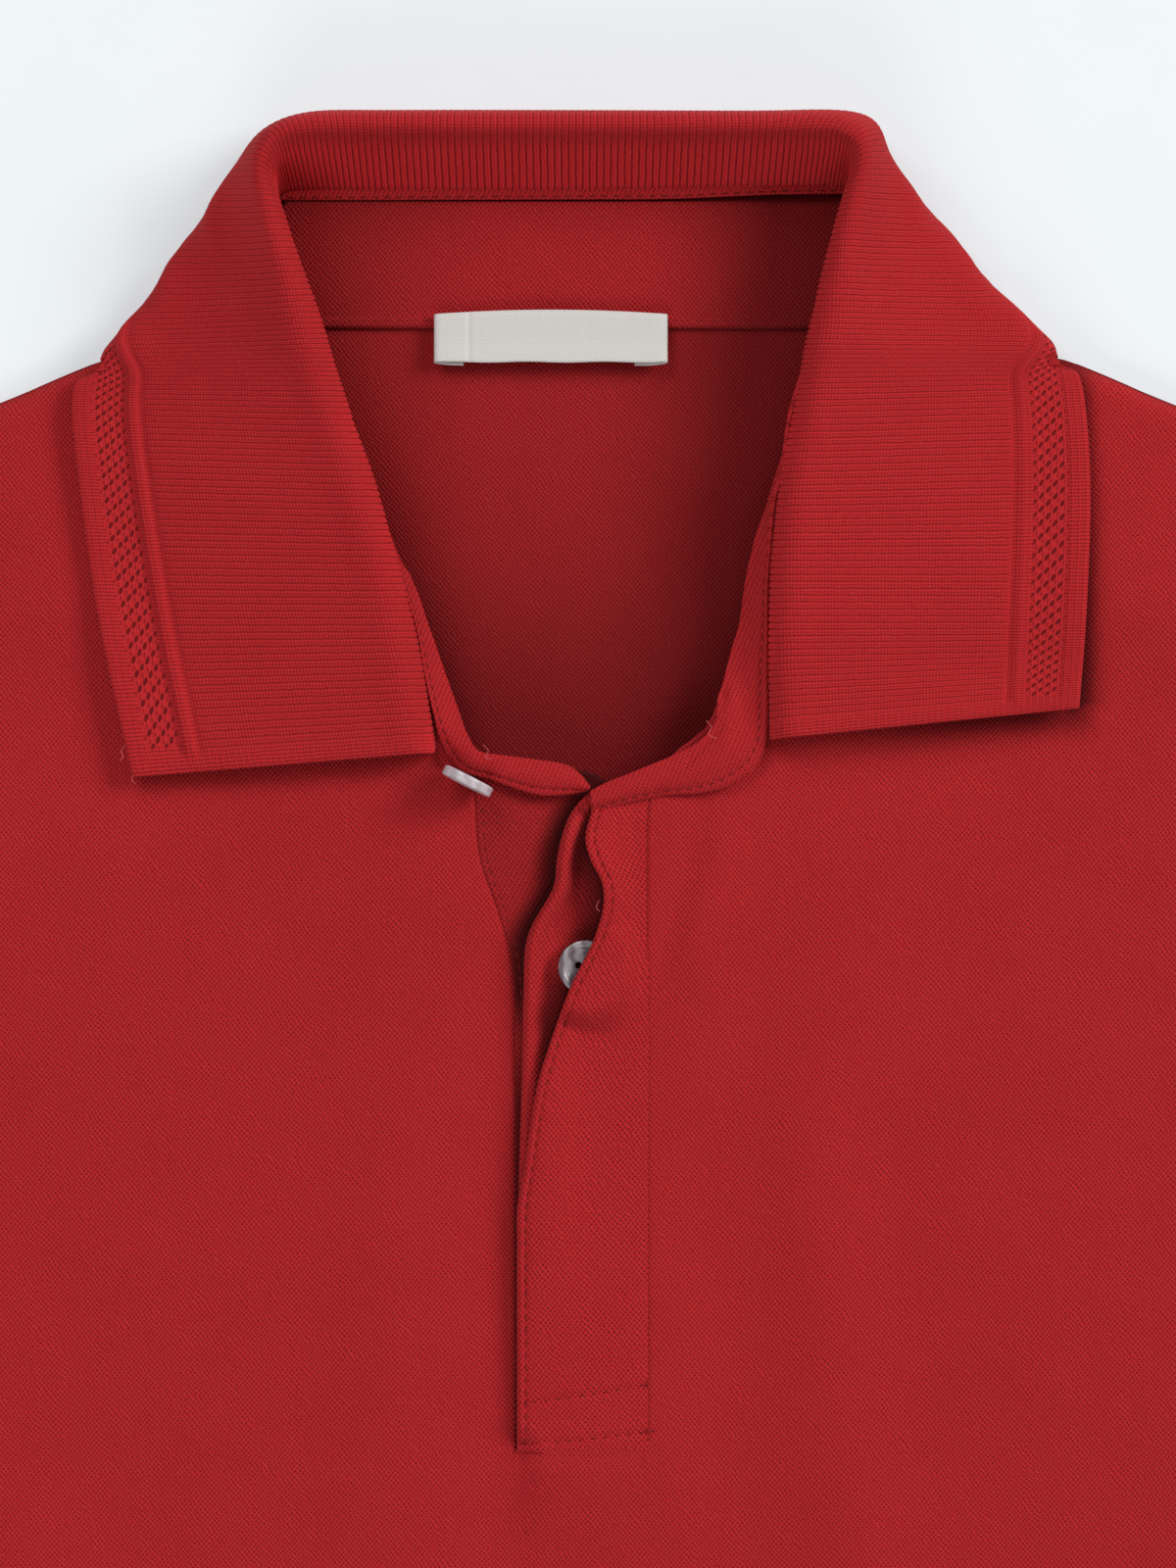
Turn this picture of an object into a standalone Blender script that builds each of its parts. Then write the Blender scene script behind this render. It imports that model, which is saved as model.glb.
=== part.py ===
"""A knitted polo shirt laid flat on its back, with its collar open and its concealed placket part undone.

Lengths in the tables are millimetres, measured from the middle of the back neck seam: x to the right of
the picture, y towards the collar, z up from the surface that the shirt lies on. The finished pieces are in
metres, with the middle of the shirt's outline over the origin.
"""

import math

import bmesh
import bpy
import numpy as np
from mathutils import Vector

MM = 0.001

# Driving sizes of the shirt, in millimetres.
CHEST_HALF = 270.0
HEM_HALF = 262.0
HEM_Y = -700.0
UNDERARM_Y = -250.0
SLEEVE_LENGTH = 225.0
SLEEVE_OPENING = 168.0
SLEEVE_DROOP = math.radians(30.0)
PIQUE = 1.2
RIB = 1.8
TRIM = 1.0
GAP = 0.3
COLLAR_DEPTH = 86.0
ROLL = 4.0
SLOT_LEFT = -16.3
SLOT_RIGHT = 14.3
SLOT_END = -292.0
YOKE_EDGE = -29.5
BUTTON_RADIUS = 6.2
BUTTON_THICKNESS = 2.4

# Heights of the layers, as the middle of each wall.
BACK_MID = PIQUE / 2
TUCK_LIFT = 2.9
LAYER = PIQUE + GAP
AIR = 0.9
EDGE_AIR = 0.4
SLEEVE_LAYER = 2.6
YOKE_ROOM = TRIM + GAP
YOKE_HALF = 84.0
NECK_POINT = 71.0
TAPE_ROOM = 0.25

# Shoulder line, from the neck point to the shoulder tip: x is the distance from the middle.
SHOULDER = (
    (NECK_POINT, -12.0), (90.0, -31.5), (106.0, -44.0), (114.0, -46.6), (121.0, -47.0), (137.0, -51.0),
    (225.0, -86.0),
)
# Armhole, from the underarm to the shoulder tip, and the number of straight steps that it is cut in.
ARMHOLE = ((270.0, -250.0), (252.0, -226.0), (232.0, -190.0), (220.0, -138.0), (225.0, -86.0))
ARMHOLE_STEPS = 12
UNDERARM_SHARE = 0.5
# Front edge of each half of the front panel, slot and then neckline: y, distance from the middle.
FRONT_EDGE_LEFT = (
    (-292.0, 16.3), (-200.0, 16.3), (-178.0, 17.2), (-167.0, 20.2), (-155.0, 24.3), (-141.0, 25.6),
    (-131.0, 26.5), (-120.0, 29.5), (-106.0, 35.0), (-90.0, 41.0), (-68.0, 50.0), (-46.0, 60.0),
    (-25.0, 67.5), (-12.0, 71.0),
)
FRONT_EDGE_RIGHT = (
    (-292.0, 14.3), (-220.0, 14.3), (-178.0, 14.3), (-155.0, 14.3), (-143.0, 14.6), (-136.0, 16.0),
    (-130.0, 21.0), (-125.0, 27.5), (-118.0, 31.0), (-105.0, 34.8), (-90.0, 38.0), (-68.0, 43.5),
    (-40.0, 53.5), (-12.0, 65.0),
)
# Width of the neck tape: y, width.
TAPE_WIDTH_LEFT = ((-131.0, 8.0), (-100.0, 7.5), (-68.0, 6.0), (-25.0, 5.0), (-10.0, 3.2), (0.0, 3.0))
TAPE_WIDTH_RIGHT = (
    (-126.0, 13.0), (-105.0, 10.5), (-90.0, 8.5), (-68.0, 7.0), (-25.0, 5.0), (-10.0, 3.2), (0.0, 3.0),
)
# Loft of the front panel over the layers below it: distance from the edge of the neck, height.
NECK_LOFT = ((0.0, 3.6), (12.0, 3.8), (30.0, 2.6), (60.0, 0.8), (95.0, 0.0))

# Collar stations, from the left front end round the back neck to the right front end.
# fold: the roll's edge; seam: the foot of the stand; out: the fall's edge or, where it tucks under, its
# outline; turn: height of that outline; edge: where the hidden edge then lies; lean: 1 where the roll
# overhangs the neck, 0 at the back.
COLLAR_COLUMNS = (
    "fold_x", "fold_y", "fold_z", "seam_x", "seam_y", "out_x", "out_y", "turn", "edge_x", "edge_y", "lean",
)
COLLAR_STATIONS = (
    (-34.8, -130.2, 15.0, -38.5, -128.0, -105.0, -136.0, 0, 0, 0, 1.0),
    (-40.0, -101.1, 18.0, -43.5, -101.0, -112.6, -101.1, 0, 0, 0, 1.0),
    (-49.1, -68.2, 21.0, -53.5, -68.0, -117.6, -66.0, 0, 0, 0, 1.0),
    (-56.6, -46.6, 23.0, -62.5, -45.5, -119.2, -45.2, 0, 0, 0, 1.0),
    (-59.5, -37.0, 24.0, -66.0, -36.0, -114.3, -38.6, 8.0, -112.0, -41.5, 1.0),
    (-61.7, -30.0, 24.5, -68.0, -28.0, -108.3, -31.6, 8.0, -103.0, -40.5, 1.0),
    (-65.7, -18.0, 25.5, -71.5, -16.0, -97.3, -18.6, 9.0, -88.0, -35.0, 0.9),
    (-70.2, -4.0, 26.0, -73.5, -6.0, -87.2, -3.0, 12.0, -76.0, -27.5, 0.8),
    (-73.3, 6.0, 26.3, -72.0, -0.5, -80.2, 7.0, 14.0, -68.5, -22.0, 0.5),
    (-71.5, 13.0, 26.5, -69.0, 1.8, -75.6, 13.0, 17.0, -62.5, -18.5, 0.3),
    (-65.5, 15.0, 26.5, -63.0, 2.4, -67.0, 17.0, 18.0, -56.0, -16.5, 0.0),
    (-50.0, 15.3, 26.2, -49.0, 2.4, -50.0, 17.6, 18.0, -45.0, -15.5, 0.0),
    (0.0, 15.3, 26.0, 0.0, 2.4, 0.0, 17.7, 18.0, 0.0, -15.0, 0.0),
    (44.0, 15.4, 26.2, 43.0, 2.4, 44.0, 17.8, 18.0, 39.0, -15.5, 0.0),
    (57.0, 15.2, 26.5, 55.5, 2.4, 59.0, 17.4, 18.0, 49.5, -16.5, 0.0),
    (62.2, 12.4, 26.5, 60.5, 1.6, 66.5, 13.8, 17.0, 56.0, -18.5, 0.3),
    (62.0, 6.5, 26.3, 63.5, -1.0, 70.6, 7.6, 14.0, 61.5, -21.5, 0.6),
    (59.7, 0.0, 26.0, 64.5, -5.0, 76.6, -0.4, 12.0, 68.0, -26.5, 0.8),
    (56.0, -15.0, 25.5, 62.0, -15.0, 88.6, -15.0, 9.0, 80.0, -34.0, 0.9),
    (53.4, -28.0, 24.5, 59.5, -28.0, 100.5, -28.4, 8.0, 95.5, -40.5, 1.0),
    (51.5, -36.0, 24.0, 58.0, -36.0, 107.3, -36.2, 8.0, 105.0, -39.6, 1.0),
    (49.9, -46.6, 23.0, 56.0, -46.0, 112.4, -44.6, 0, 0, 0, 1.0),
    (45.1, -70.0, 21.0, 51.0, -70.0, 116.0, -68.0, 0, 0, 0, 1.0),
    (42.9, -100.0, 18.0, 47.5, -100.0, 116.2, -100.0, 0, 0, 0, 1.0),
    (43.0, -127.2, 15.0, 46.5, -125.0, 114.6, -120.0, 0, 0, 0, 1.0),
)
COLLAR_RINGS = 52
# Widths across the collar from its edge inwards, as the knitter counts them: distance, height of the relief.
COLLAR_RELIEF = (
    (0.0, 0.0), (1.5, 0.0), (4.8, 0.0), (5.4, -0.3), (13.6, -0.3), (14.2, 0.5), (16.0, 0.7), (17.8, 0.5),
    (18.4, -0.1), (19.4, 0.0),
)
COLLAR_PLAIN_COLUMNS = 17

# Front edges of the two loose placket layers: y, x.
FLY_EDGE = (
    (-292.0, -15.9), (-238.0, -15.9), (-197.0, -15.0), (-183.0, -14.3), (-176.0, -13.9), (-167.0, -11.0),
    (-156.0, -7.2), (-149.0, -4.8), (-139.5, 0.8),
)
OUTER_EDGE = (
    (-292.0, -15.9), (-238.0, -15.9), (-228.0, -14.5), (-206.0, -11.8), (-188.0, -5.0), (-174.0, 0.7),
    (-160.0, 3.4), (-149.0, 0.4), (-143.5, 1.8),
)
UNDER_RIGHT = 12.5
PLACKET_LIFT = TRIM + GAP
BUTTON_MID = (0.0, -180.0)
BUTTON_TOP = (-26.5, -136.0)
BUTTON_TOP_TILT = math.radians(64.0)
BUTTON_TOP_TURN = math.radians(-27.0)

# The valleys that show beside the placket: start, end, depth, half width.
VALLEYS = (
    ((24.0, -215.0), (34.0, -330.0), 1.0, 9.0),
    ((-20.0, -250.0), (-21.0, -335.0), 0.7, 6.0),
    ((70.0, -150.0), (95.0, -205.0), 0.5, 14.0),
    ((-90.0, -330.0), (-60.0, -520.0), 0.6, 22.0),
    ((120.0, -380.0), (60.0, -600.0), 0.6, 24.0),
)

# Label.
LABEL_LEFT = -35.0
LABEL_RIGHT = 19.1
LABEL_TOP = -27.4
LABEL_BOTTOM = -39.6

RED = (0.42, 0.016, 0.022)
LABEL_WHITE = (0.75, 0.73, 0.68)
PEARL = (0.62, 0.58, 0.58)


def clear_scene():
    for item in list(bpy.data.objects):
        bpy.data.objects.remove(item)


def smooth(value, low, high):
    """0 at low, 1 at high, with an even start and end."""
    t = np.clip((value - low) / (high - low), 0.0, 1.0)
    return t * t * (3.0 - 2.0 * t)


def spline(points, fractions):
    """Points at the given shares of the length of a smooth curve through points."""
    knots = np.array(points, float)
    first = 2 * knots[0] - knots[1]
    last = 2 * knots[-1] - knots[-2]
    padded = np.vstack([first, knots, last])
    dense = []
    for i in range(1, len(padded) - 2):
        p0, p1, p2, p3 = padded[i - 1:i + 3]
        d0 = max(np.linalg.norm(p1 - p0), 1e-6) ** 0.5
        d1 = max(np.linalg.norm(p2 - p1), 1e-6) ** 0.5
        d2 = max(np.linalg.norm(p3 - p2), 1e-6) ** 0.5
        m1 = d1 * ((p1 - p0) / d0 - (p2 - p0) / (d0 + d1) + (p2 - p1) / d1)
        m2 = d1 * ((p2 - p1) / d1 - (p3 - p1) / (d1 + d2) + (p3 - p2) / d2)
        for t in np.linspace(0.0, 1.0, 16, endpoint=False):
            a = 2 * t**3 - 3 * t**2 + 1
            b = t**3 - 2 * t**2 + t
            c = -2 * t**3 + 3 * t**2
            d = t**3 - t**2
            dense.append(a * p1 + b * m1 + c * p2 + d * m2)
    dense.append(knots[-1])
    dense = np.array(dense)
    steps = np.linalg.norm(np.diff(dense, axis=0), axis=1)
    length = np.concatenate([[0.0], np.cumsum(steps)])
    at = np.asarray(fractions) * length[-1]
    return np.stack([np.interp(at, length, dense[:, k]) for k in range(dense.shape[1])], axis=-1)


def column(table, value):
    """Reads a two-column table as a smooth function, level at a turning point."""
    keys = np.array([row[0] for row in table], float)
    values = np.array([row[1] for row in table], float)
    steps = np.diff(values) / np.diff(keys)
    slopes = np.concatenate([[steps[0]], (steps[:-1] + steps[1:]) / 2, [steps[-1]]])
    turning = np.concatenate([[False], steps[:-1] * steps[1:] <= 0, [False]])
    slopes[turning] = 0.0
    at = np.clip(value, keys[0], keys[-1])
    i = np.clip(np.searchsorted(keys, at, side="right") - 1, 0, len(keys) - 2)
    h = keys[i + 1] - keys[i]
    t = (at - keys[i]) / h
    a = 2 * t**3 - 3 * t**2 + 1
    b = t**3 - 2 * t**2 + t
    return a * values[i] + b * h * slopes[i] + (1 - a) * values[i + 1] + (t**3 - t**2) * h * slopes[i + 1]


def shoulder_y(x):
    """Top edge of the body at a distance x from the middle."""
    return column(SHOULDER, np.abs(x))


def front_edge(y, side):
    table = FRONT_EDGE_LEFT if side < 0 else FRONT_EDGE_RIGHT
    return column(table, y)


# Heights of the layers over the surface.

def back_mid(x, y):
    """The back lies flat and rises over the hidden part of the collar."""
    reach = 1.0 - smooth(np.abs(x), 128.0, 165.0)
    near = 1.0 - smooth(shoulder_y(x) - y, 42.0, 72.0)
    return BACK_MID + TUCK_LIFT * reach * near


def neck_distance(x, y):
    """How far a point of the front lies from the edge of the neck, roughly."""
    side = -1.0 if x < 0 else 1.0
    inner = front_edge(min(max(y, -131.0), -12.0), side)
    beside = abs(x) - inner
    below = max(-131.0 - y, 0.0)
    return math.hypot(max(beside, 0.0), below)


def valley_depth(x, y):
    depth = 0.0
    for start, end, deep, half in VALLEYS:
        along = Vector(end) - Vector(start)
        offset = Vector((x, y)) - Vector(start)
        share = offset.dot(along) / along.length_squared
        away = (offset - along * share).length
        fade = smooth(share, -0.15, 0.25) * (1.0 - smooth(share, 0.7, 1.1))
        depth += deep * fade * math.exp(-((away / half) ** 2))
    return depth


def placket_step(x, y):
    """The right front stands higher beside the placket, because its layers lie under it there."""
    beside = 1.0 - smooth(x, SLOT_RIGHT, SLOT_RIGHT + 30.0)
    across = smooth(x, SLOT_LEFT, SLOT_RIGHT)
    below = smooth(y, SLOT_END - 26.0, SLOT_END)
    return 2 * PLACKET_LIFT * beside * across * below


def rest_height(x, y):
    """The front's height without the step at the placket."""
    to_top = shoulder_y(x) - y
    to_side = CHEST_HALF - abs(x)
    beside = smooth(to_side, 4.0, 40.0) if y < UNDERARM_Y else 1.0
    level = EDGE_AIR + (AIR - EDGE_AIR) * smooth(to_top, 0.0, 25.0) * beside
    away = neck_distance(x, y)
    neck = column(NECK_LOFT, away) * (0.25 + 0.75 * smooth(to_top, 0.0, 45.0))
    near_yoke = smooth(y, YOKE_EDGE - 40.0, YOKE_EDGE - 5.0)
    near_yoke *= 1.0 - smooth(abs(x), YOKE_HALF + 4.0, 140.0)
    room = YOKE_ROOM * max(near_yoke, 1.0 - smooth(away, 30.0, 70.0))
    return back_mid(x, y) + LAYER + level + neck + room - valley_depth(x, y) * level / AIR


def front_mid(x, y):
    return rest_height(x, y) + placket_step(x, y)


# Surfaces and walls.

def material(name, colour, roughness):
    made = bpy.data.materials.get(name)
    if made is None:
        made = bpy.data.materials.new(name)
        made.use_nodes = True
        shader = made.node_tree.nodes["Principled BSDF"]
        shader.inputs["Base Color"].default_value = (*colour, 1.0)
        shader.inputs["Roughness"].default_value = roughness
        shader.inputs["Metallic"].default_value = 0.0
    return made


def add_object(name, mesh, paint):
    item = bpy.data.objects.new(name, mesh)
    item.data.materials.append(paint)
    SHIRT.objects.link(item)
    for face in mesh.polygons:
        face.use_smooth = True
    return item


def surface(name, grid, paint, thickness, closed=False, drop=()):
    """An open surface through a grid of points, thickened evenly to both sides."""
    rows, columns = grid.shape[:2]
    shape = bmesh.new()
    points = [[shape.verts.new(Vector(grid[i, j]) * MM) for j in range(columns)] for i in range(rows)]
    last = columns if closed else columns - 1
    for i in range(rows - 1):
        for j in range(last):
            if (i, j) not in drop:
                k = (j + 1) % columns
                shape.faces.new((points[i][j], points[i][k], points[i + 1][k], points[i + 1][j]))
    loose = [v for v in shape.verts if not v.link_faces]
    bmesh.ops.delete(shape, geom=loose, context="VERTS")
    bmesh.ops.recalc_face_normals(shape, faces=shape.faces)
    mesh = bpy.data.meshes.new(name)
    shape.to_mesh(mesh)
    shape.free()
    item = add_object(name, mesh, paint)
    wall = item.modifiers.new("wall", "SOLIDIFY")
    wall.thickness = thickness * MM
    wall.offset = 0.0
    return item


def lofted_wall(name, inner, outer, paint):
    """A closed wall between two grids of points, with a plain inside and a raised outside."""
    rows, columns = inner.shape[:2]
    shape = bmesh.new()
    low = [[shape.verts.new(Vector(inner[i, j]) * MM) for j in range(columns)] for i in range(rows)]
    high = [[shape.verts.new(Vector(outer[i, j]) * MM) for j in range(columns)] for i in range(rows)]
    for i in range(rows - 1):
        for j in range(columns - 1):
            shape.faces.new((low[i][j], low[i][j + 1], low[i + 1][j + 1], low[i + 1][j]))
            shape.faces.new((high[i][j], high[i + 1][j], high[i + 1][j + 1], high[i][j + 1]))
    for i in range(rows - 1):
        for j in (0, columns - 1):
            shape.faces.new((low[i][j], low[i + 1][j], high[i + 1][j], high[i][j]))
    for j in range(columns - 1):
        for i in (0, rows - 1):
            shape.faces.new((low[i][j], low[i][j + 1], high[i][j + 1], high[i][j]))
    bmesh.ops.recalc_face_normals(shape, faces=shape.faces)
    mesh = bpy.data.meshes.new(name)
    shape.to_mesh(mesh)
    shape.free()
    return add_object(name, mesh, paint)


def raise_grid(grid, height):
    """Adds a height over each plan point."""
    out = np.zeros((*grid.shape[:2], 3))
    for i in range(grid.shape[0]):
        for j in range(grid.shape[1]):
            x, y = grid[i, j]
            out[i, j] = (x, y, height(x, y))
    return out


# Body.

def side_points(side, rows):
    """One side of a panel at the given rows: the side seam, and then the armhole."""
    armhole = spline(ARMHOLE, np.linspace(0.0, 1.0, ARMHOLE_STEPS + 1))
    points = []
    for v in rows:
        if v <= UNDERARM_SHARE:
            low = v / UNDERARM_SHARE
            x = HEM_HALF + (CHEST_HALF - HEM_HALF) * low
            y = HEM_Y + (UNDERARM_Y - HEM_Y) * low
        else:
            step = (v - UNDERARM_SHARE) / (1.0 - UNDERARM_SHARE) * ARMHOLE_STEPS
            x = np.interp(step, range(ARMHOLE_STEPS + 1), armhole[:, 0])
            y = np.interp(step, range(ARMHOLE_STEPS + 1), armhole[:, 1])
        points.append((side * x, y))
    return np.array(points)


def fill(bottom, top, inner, outer, rows, across):
    """Plan points that fill the space between four sampled edges."""
    grid = np.zeros((len(rows), len(across), 2))
    for i, v in enumerate(rows):
        for j, u in enumerate(across):
            ruled = (1 - v) * bottom[j] + v * top[j] + (1 - u) * inner[i] + u * outer[i]
            first = (1 - v) * bottom[0] + v * top[0]
            last = (1 - v) * bottom[-1] + v * top[-1]
            grid[i, j] = ruled - (1 - u) * first - u * last
    return grid


def back_panel():
    """Two mirrored halves in one grid, from the hem to the shoulders and the back neck."""
    low_rows = np.linspace(0.0, UNDERARM_SHARE, 5)[:-1]
    rows = np.concatenate([low_rows, np.linspace(UNDERARM_SHARE, 1.0, ARMHOLE_STEPS + 1)])
    across = np.array([0.0, 0.12, 0.22, 0.28, 0.31, 0.38, 0.47, 0.58, 0.72, 0.86, 1.0])
    halves = {}
    for side in (-1, 1):
        neck = [(0.0, 1.4), (side * 40.0, 1.4), (side * 62.0, 0.6)]
        bottom = spline([(0.0, HEM_Y), (side * HEM_HALF, HEM_Y)], across)
        top = spline(neck + [(side * x, y) for x, y in SHOULDER], across)
        middle = np.linspace((0.0, HEM_Y), (0.0, 1.4), 101)
        inner = np.array([middle[round(v * 100)] for v in rows])
        halves[side] = fill(bottom, top, inner, side_points(side, rows), rows, across)
    grid = np.concatenate([halves[-1][:, :0:-1], halves[1]], axis=1)
    return surface("back_panel", raise_grid(grid, back_mid), KNIT, PIQUE)


def front_panel():
    """One piece: a grid whose middle columns stop at the end of the placket slot."""
    low_rows = np.linspace(0.0, UNDERARM_SHARE, 5)[:-1]
    high_rows = np.linspace(UNDERARM_SHARE, 1.0, 2 * ARMHOLE_STEPS + 1)
    rows = np.concatenate([low_rows, high_rows])
    slot_row = len(low_rows)
    across = np.array([0.0, 0.035, 0.085, 0.16, 0.24, 0.29, 0.34, 0.43, 0.6, 0.8, 1.0])
    halves = {}
    for side in (-1, 1):
        table = FRONT_EDGE_LEFT if side < 0 else FRONT_EDGE_RIGHT
        heights = np.linspace(table[0][0], table[-1][0], len(high_rows))
        start = side * table[0][1]
        inner_low = np.array([(start, HEM_Y + (SLOT_END - HEM_Y) * v / UNDERARM_SHARE) for v in low_rows])
        inner_high = np.array([(side * float(column(table, y)), y) for y in heights])
        inner = np.vstack([inner_low, inner_high])
        bottom = spline([(start, HEM_Y), (side * HEM_HALF, HEM_Y)], across)
        top = spline([tuple(inner[-1])] + [(side * x, y) for x, y in SHOULDER[1:]], across)
        halves[side] = fill(bottom, top, inner, side_points(side, rows), rows, across)
    middle = (halves[-1][:, :1] + halves[1][:, :1]) / 2
    grid = np.concatenate([halves[-1][:, ::-1], middle, halves[1]], axis=1)
    first = len(across) - 1
    drop = {(i, j) for i in range(slot_row, len(rows) - 1) for j in (first, first + 1)}
    return surface("front_panel", raise_grid(grid, front_mid), KNIT, PIQUE, drop=drop)


# Sleeves.

def sleeve(name, side):
    """A flat tube: rings from the armhole to the hem, open at both ends."""
    along = np.array([math.cos(SLEEVE_DROOP), -math.sin(SLEEVE_DROOP)])
    down = np.array([along[1], -along[0]])
    armhole = spline(ARMHOLE, np.linspace(0.0, 1.0, ARMHOLE_STEPS + 1))[::-1]
    tangent = np.gradient(armhole, axis=0)
    tangent /= np.linalg.norm(tangent, axis=1, keepdims=True)
    start = armhole + np.stack([-tangent[:, 1], tangent[:, 0]], axis=1) * GAP * 1.3
    start[-3:] += np.array([[0.2, 0.1], [0.6, 0.3], [1.3, 0.6]])
    cuff_top = armhole[0] + along * SLEEVE_LENGTH
    cuff = np.array([cuff_top + down * SLEEVE_OPENING * k / ARMHOLE_STEPS for k in range(ARMHOLE_STEPS + 1)])
    inset = SLEEVE_LAYER / 2
    rings = []
    for share in (0.0, 0.12, 0.3, 0.55, 0.8, 1.0):
        line = start * (1 - share) + cuff * share
        ends = [line[0] + (line[1] - line[0]) / np.linalg.norm(line[1] - line[0]) * inset]
        ends.append(line[-1] + (line[-2] - line[-1]) / np.linalg.norm(line[-2] - line[-1]) * inset)
        flat = [ends[0], *line[1:-1], ends[1]]
        ring = [(side * line[0][0], line[0][1], BACK_MID + SLEEVE_LAYER / 2)]
        ring += [(side * x, y, BACK_MID) for x, y in flat]
        ring.append((side * line[-1][0], line[-1][1], BACK_MID + SLEEVE_LAYER / 2))
        ring += [(side * x, y, BACK_MID + SLEEVE_LAYER) for x, y in flat[::-1]]
        rings.append(ring)
    return surface(name, np.array(rings), KNIT, PIQUE, closed=True)


# Collar.

def front_top(x, y):
    return front_mid(x, y) + PIQUE / 2


def seam_height(x, y):
    """The foot of the stand: on the neck tape beside the front, and on the back panel behind it."""
    on_front = front_top(x, min(y, -12.0)) + GAP + TRIM + 3 * GAP + RIB / 2
    on_back = back_mid(x, y) + PIQUE / 2 + GAP + RIB / 2
    back = smooth(y, -10.0, 1.0)
    return (1 - back) * on_front + back * on_back


def collar_section(row):
    """The line of one station from the seam over the roll to the edge."""
    s = dict(zip(COLLAR_COLUMNS, row))
    fold = Vector((s["fold_x"], s["fold_y"]))
    seam = Vector((s["seam_x"], s["seam_y"]))
    out = Vector((s["out_x"], s["out_y"]))
    outward = (out - fold).normalized()
    lean = s["lean"]
    apex = fold + outward * ROLL * lean
    foot_z = seam_height(seam.x, seam.y)
    straight = seam.lerp(apex, 0.55)
    mid = straight.lerp(fold, lean)
    mid_z = (foot_z + 0.58 * (s["fold_z"] - foot_z)) * (1 - lean) + (s["fold_z"] - ROLL) * lean
    line = [(*seam, foot_z), (*mid, mid_z), (*apex, s["fold_z"])]
    reach = (out - apex).length
    if s["turn"] == 0:
        for share in (0.12, 0.3, 0.55, 0.8, 1.0):
            at = apex.lerp(out, share)
            floor = front_top(at.x, at.y) + GAP + RIB / 2 + 0.8
            line.append((*at, floor + (s["fold_z"] - floor) * (1 - share) ** 1.7))
        return spline(line, COLLAR_SHARES)
    for share in (0.3, 0.65):
        if reach > 12.0:
            at = apex.lerp(out, share)
            line.append((*at, s["turn"] + (s["fold_z"] - s["turn"]) * (1 - share) ** 1.5))
    line.append((*out, s["turn"]))
    edge = Vector((s["edge_x"], s["edge_y"]))
    rest = RIB / 2
    under = (edge - out).normalized()
    line.append((*(out + under * 0.3), rest + 0.45 * (s["turn"] - rest)))
    line.append((*(out + under * 1.6), rest + min(1.2, 0.2 * s["turn"])))
    if (edge - out).length > 5.0:
        line.append((*out.lerp(edge, 0.3), rest))
    line.append((*edge, rest))
    return spline(line, COLLAR_SHARES)


def collar():
    sections = np.array([collar_section(row) for row in COLLAR_STATIONS])
    folds = np.array([(row[0], row[1]) for row in COLLAR_STATIONS])
    steps = np.linalg.norm(np.diff(folds, axis=0), axis=1) + 3.0
    place = np.concatenate([[0.0], np.cumsum(steps)]) / steps.sum()
    even = np.linspace(0.0, 1.0, COLLAR_RINGS)
    dense = 15
    mid = np.zeros((COLLAR_RINGS, sections.shape[1], 3))
    for j in range(sections.shape[1]):
        fine = []
        for i in range(len(sections) - 1):
            p0 = sections[max(i - 1, 0), j]
            p1 = sections[i, j]
            p2 = sections[i + 1, j]
            p3 = sections[min(i + 2, len(sections) - 1), j]
            h = place[i + 1] - place[i]
            before = place[i] - place[max(i - 1, 0)]
            after = place[min(i + 2, len(sections) - 1)] - place[i + 1]
            m1 = (p2 - p0) / (h + before) * h
            m2 = (p3 - p1) / (h + after) * h
            for t in np.linspace(0.0, 1.0, dense, endpoint=False):
                a = 2 * t**3 - 3 * t**2 + 1
                b = t**3 - 2 * t**2 + t
                c = -2 * t**3 + 3 * t**2
                d = t**3 - t**2
                fine.append(a * p1 + b * m1 + c * p2 + d * m2)
        fine.append(sections[-1, j])
        fine = np.array(fine)
        where = np.concatenate([
            np.linspace(place[i], place[i + 1], dense, endpoint=False) for i in range(len(place) - 1)
        ] + [[1.0]])
        for k in range(3):
            mid[:, j, k] = np.interp(even, where, fine[:, k])
    for i, j in np.ndindex(mid.shape[:2]):
        x, y, z = mid[i, j]
        if y < shoulder_y(x) + 3.0 and z > TUCK_LIFT:
            mid[i, j, 2] = max(z, front_top(x, y) + GAP + RIB / 2 + 0.35)
        elif z < TUCK_LIFT:
            mid[i, j, 2] = RIB / 2 if y < shoulder_y(x) + 1.5 else max(z, RIB / 2)
    normals = np.cross(np.gradient(mid, axis=0), np.gradient(mid, axis=1))
    normals /= np.linalg.norm(normals, axis=2, keepdims=True)
    if normals[5, -1, 2] < 0:
        normals = -normals
    for _ in range(2):
        normals[:, 1:-1] = (normals[:, :-2] + 2 * normals[:, 1:-1] + normals[:, 2:]) / 4
        normals /= np.linalg.norm(normals, axis=2, keepdims=True)
    relief = np.interp(
        (1.0 - COLLAR_SHARES) * COLLAR_DEPTH,
        [row[0] for row in COLLAR_RELIEF],
        [row[1] for row in COLLAR_RELIEF],
    )
    inner = mid - normals * RIB / 2
    shown = smooth(normals[:, :, 2], -0.2, 0.6)
    outer = mid + normals * (RIB / 2 + shown[:, :, None] * relief[None, :, None])
    inner[:, :, 2] = np.maximum(inner[:, :, 2], 0.0)
    outer[:, :, 2] = np.maximum(outer[:, :, 2], 0.0)
    return lofted_wall("collar", inner, outer, RIB_KNIT)


# Trims at the neck.

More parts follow.
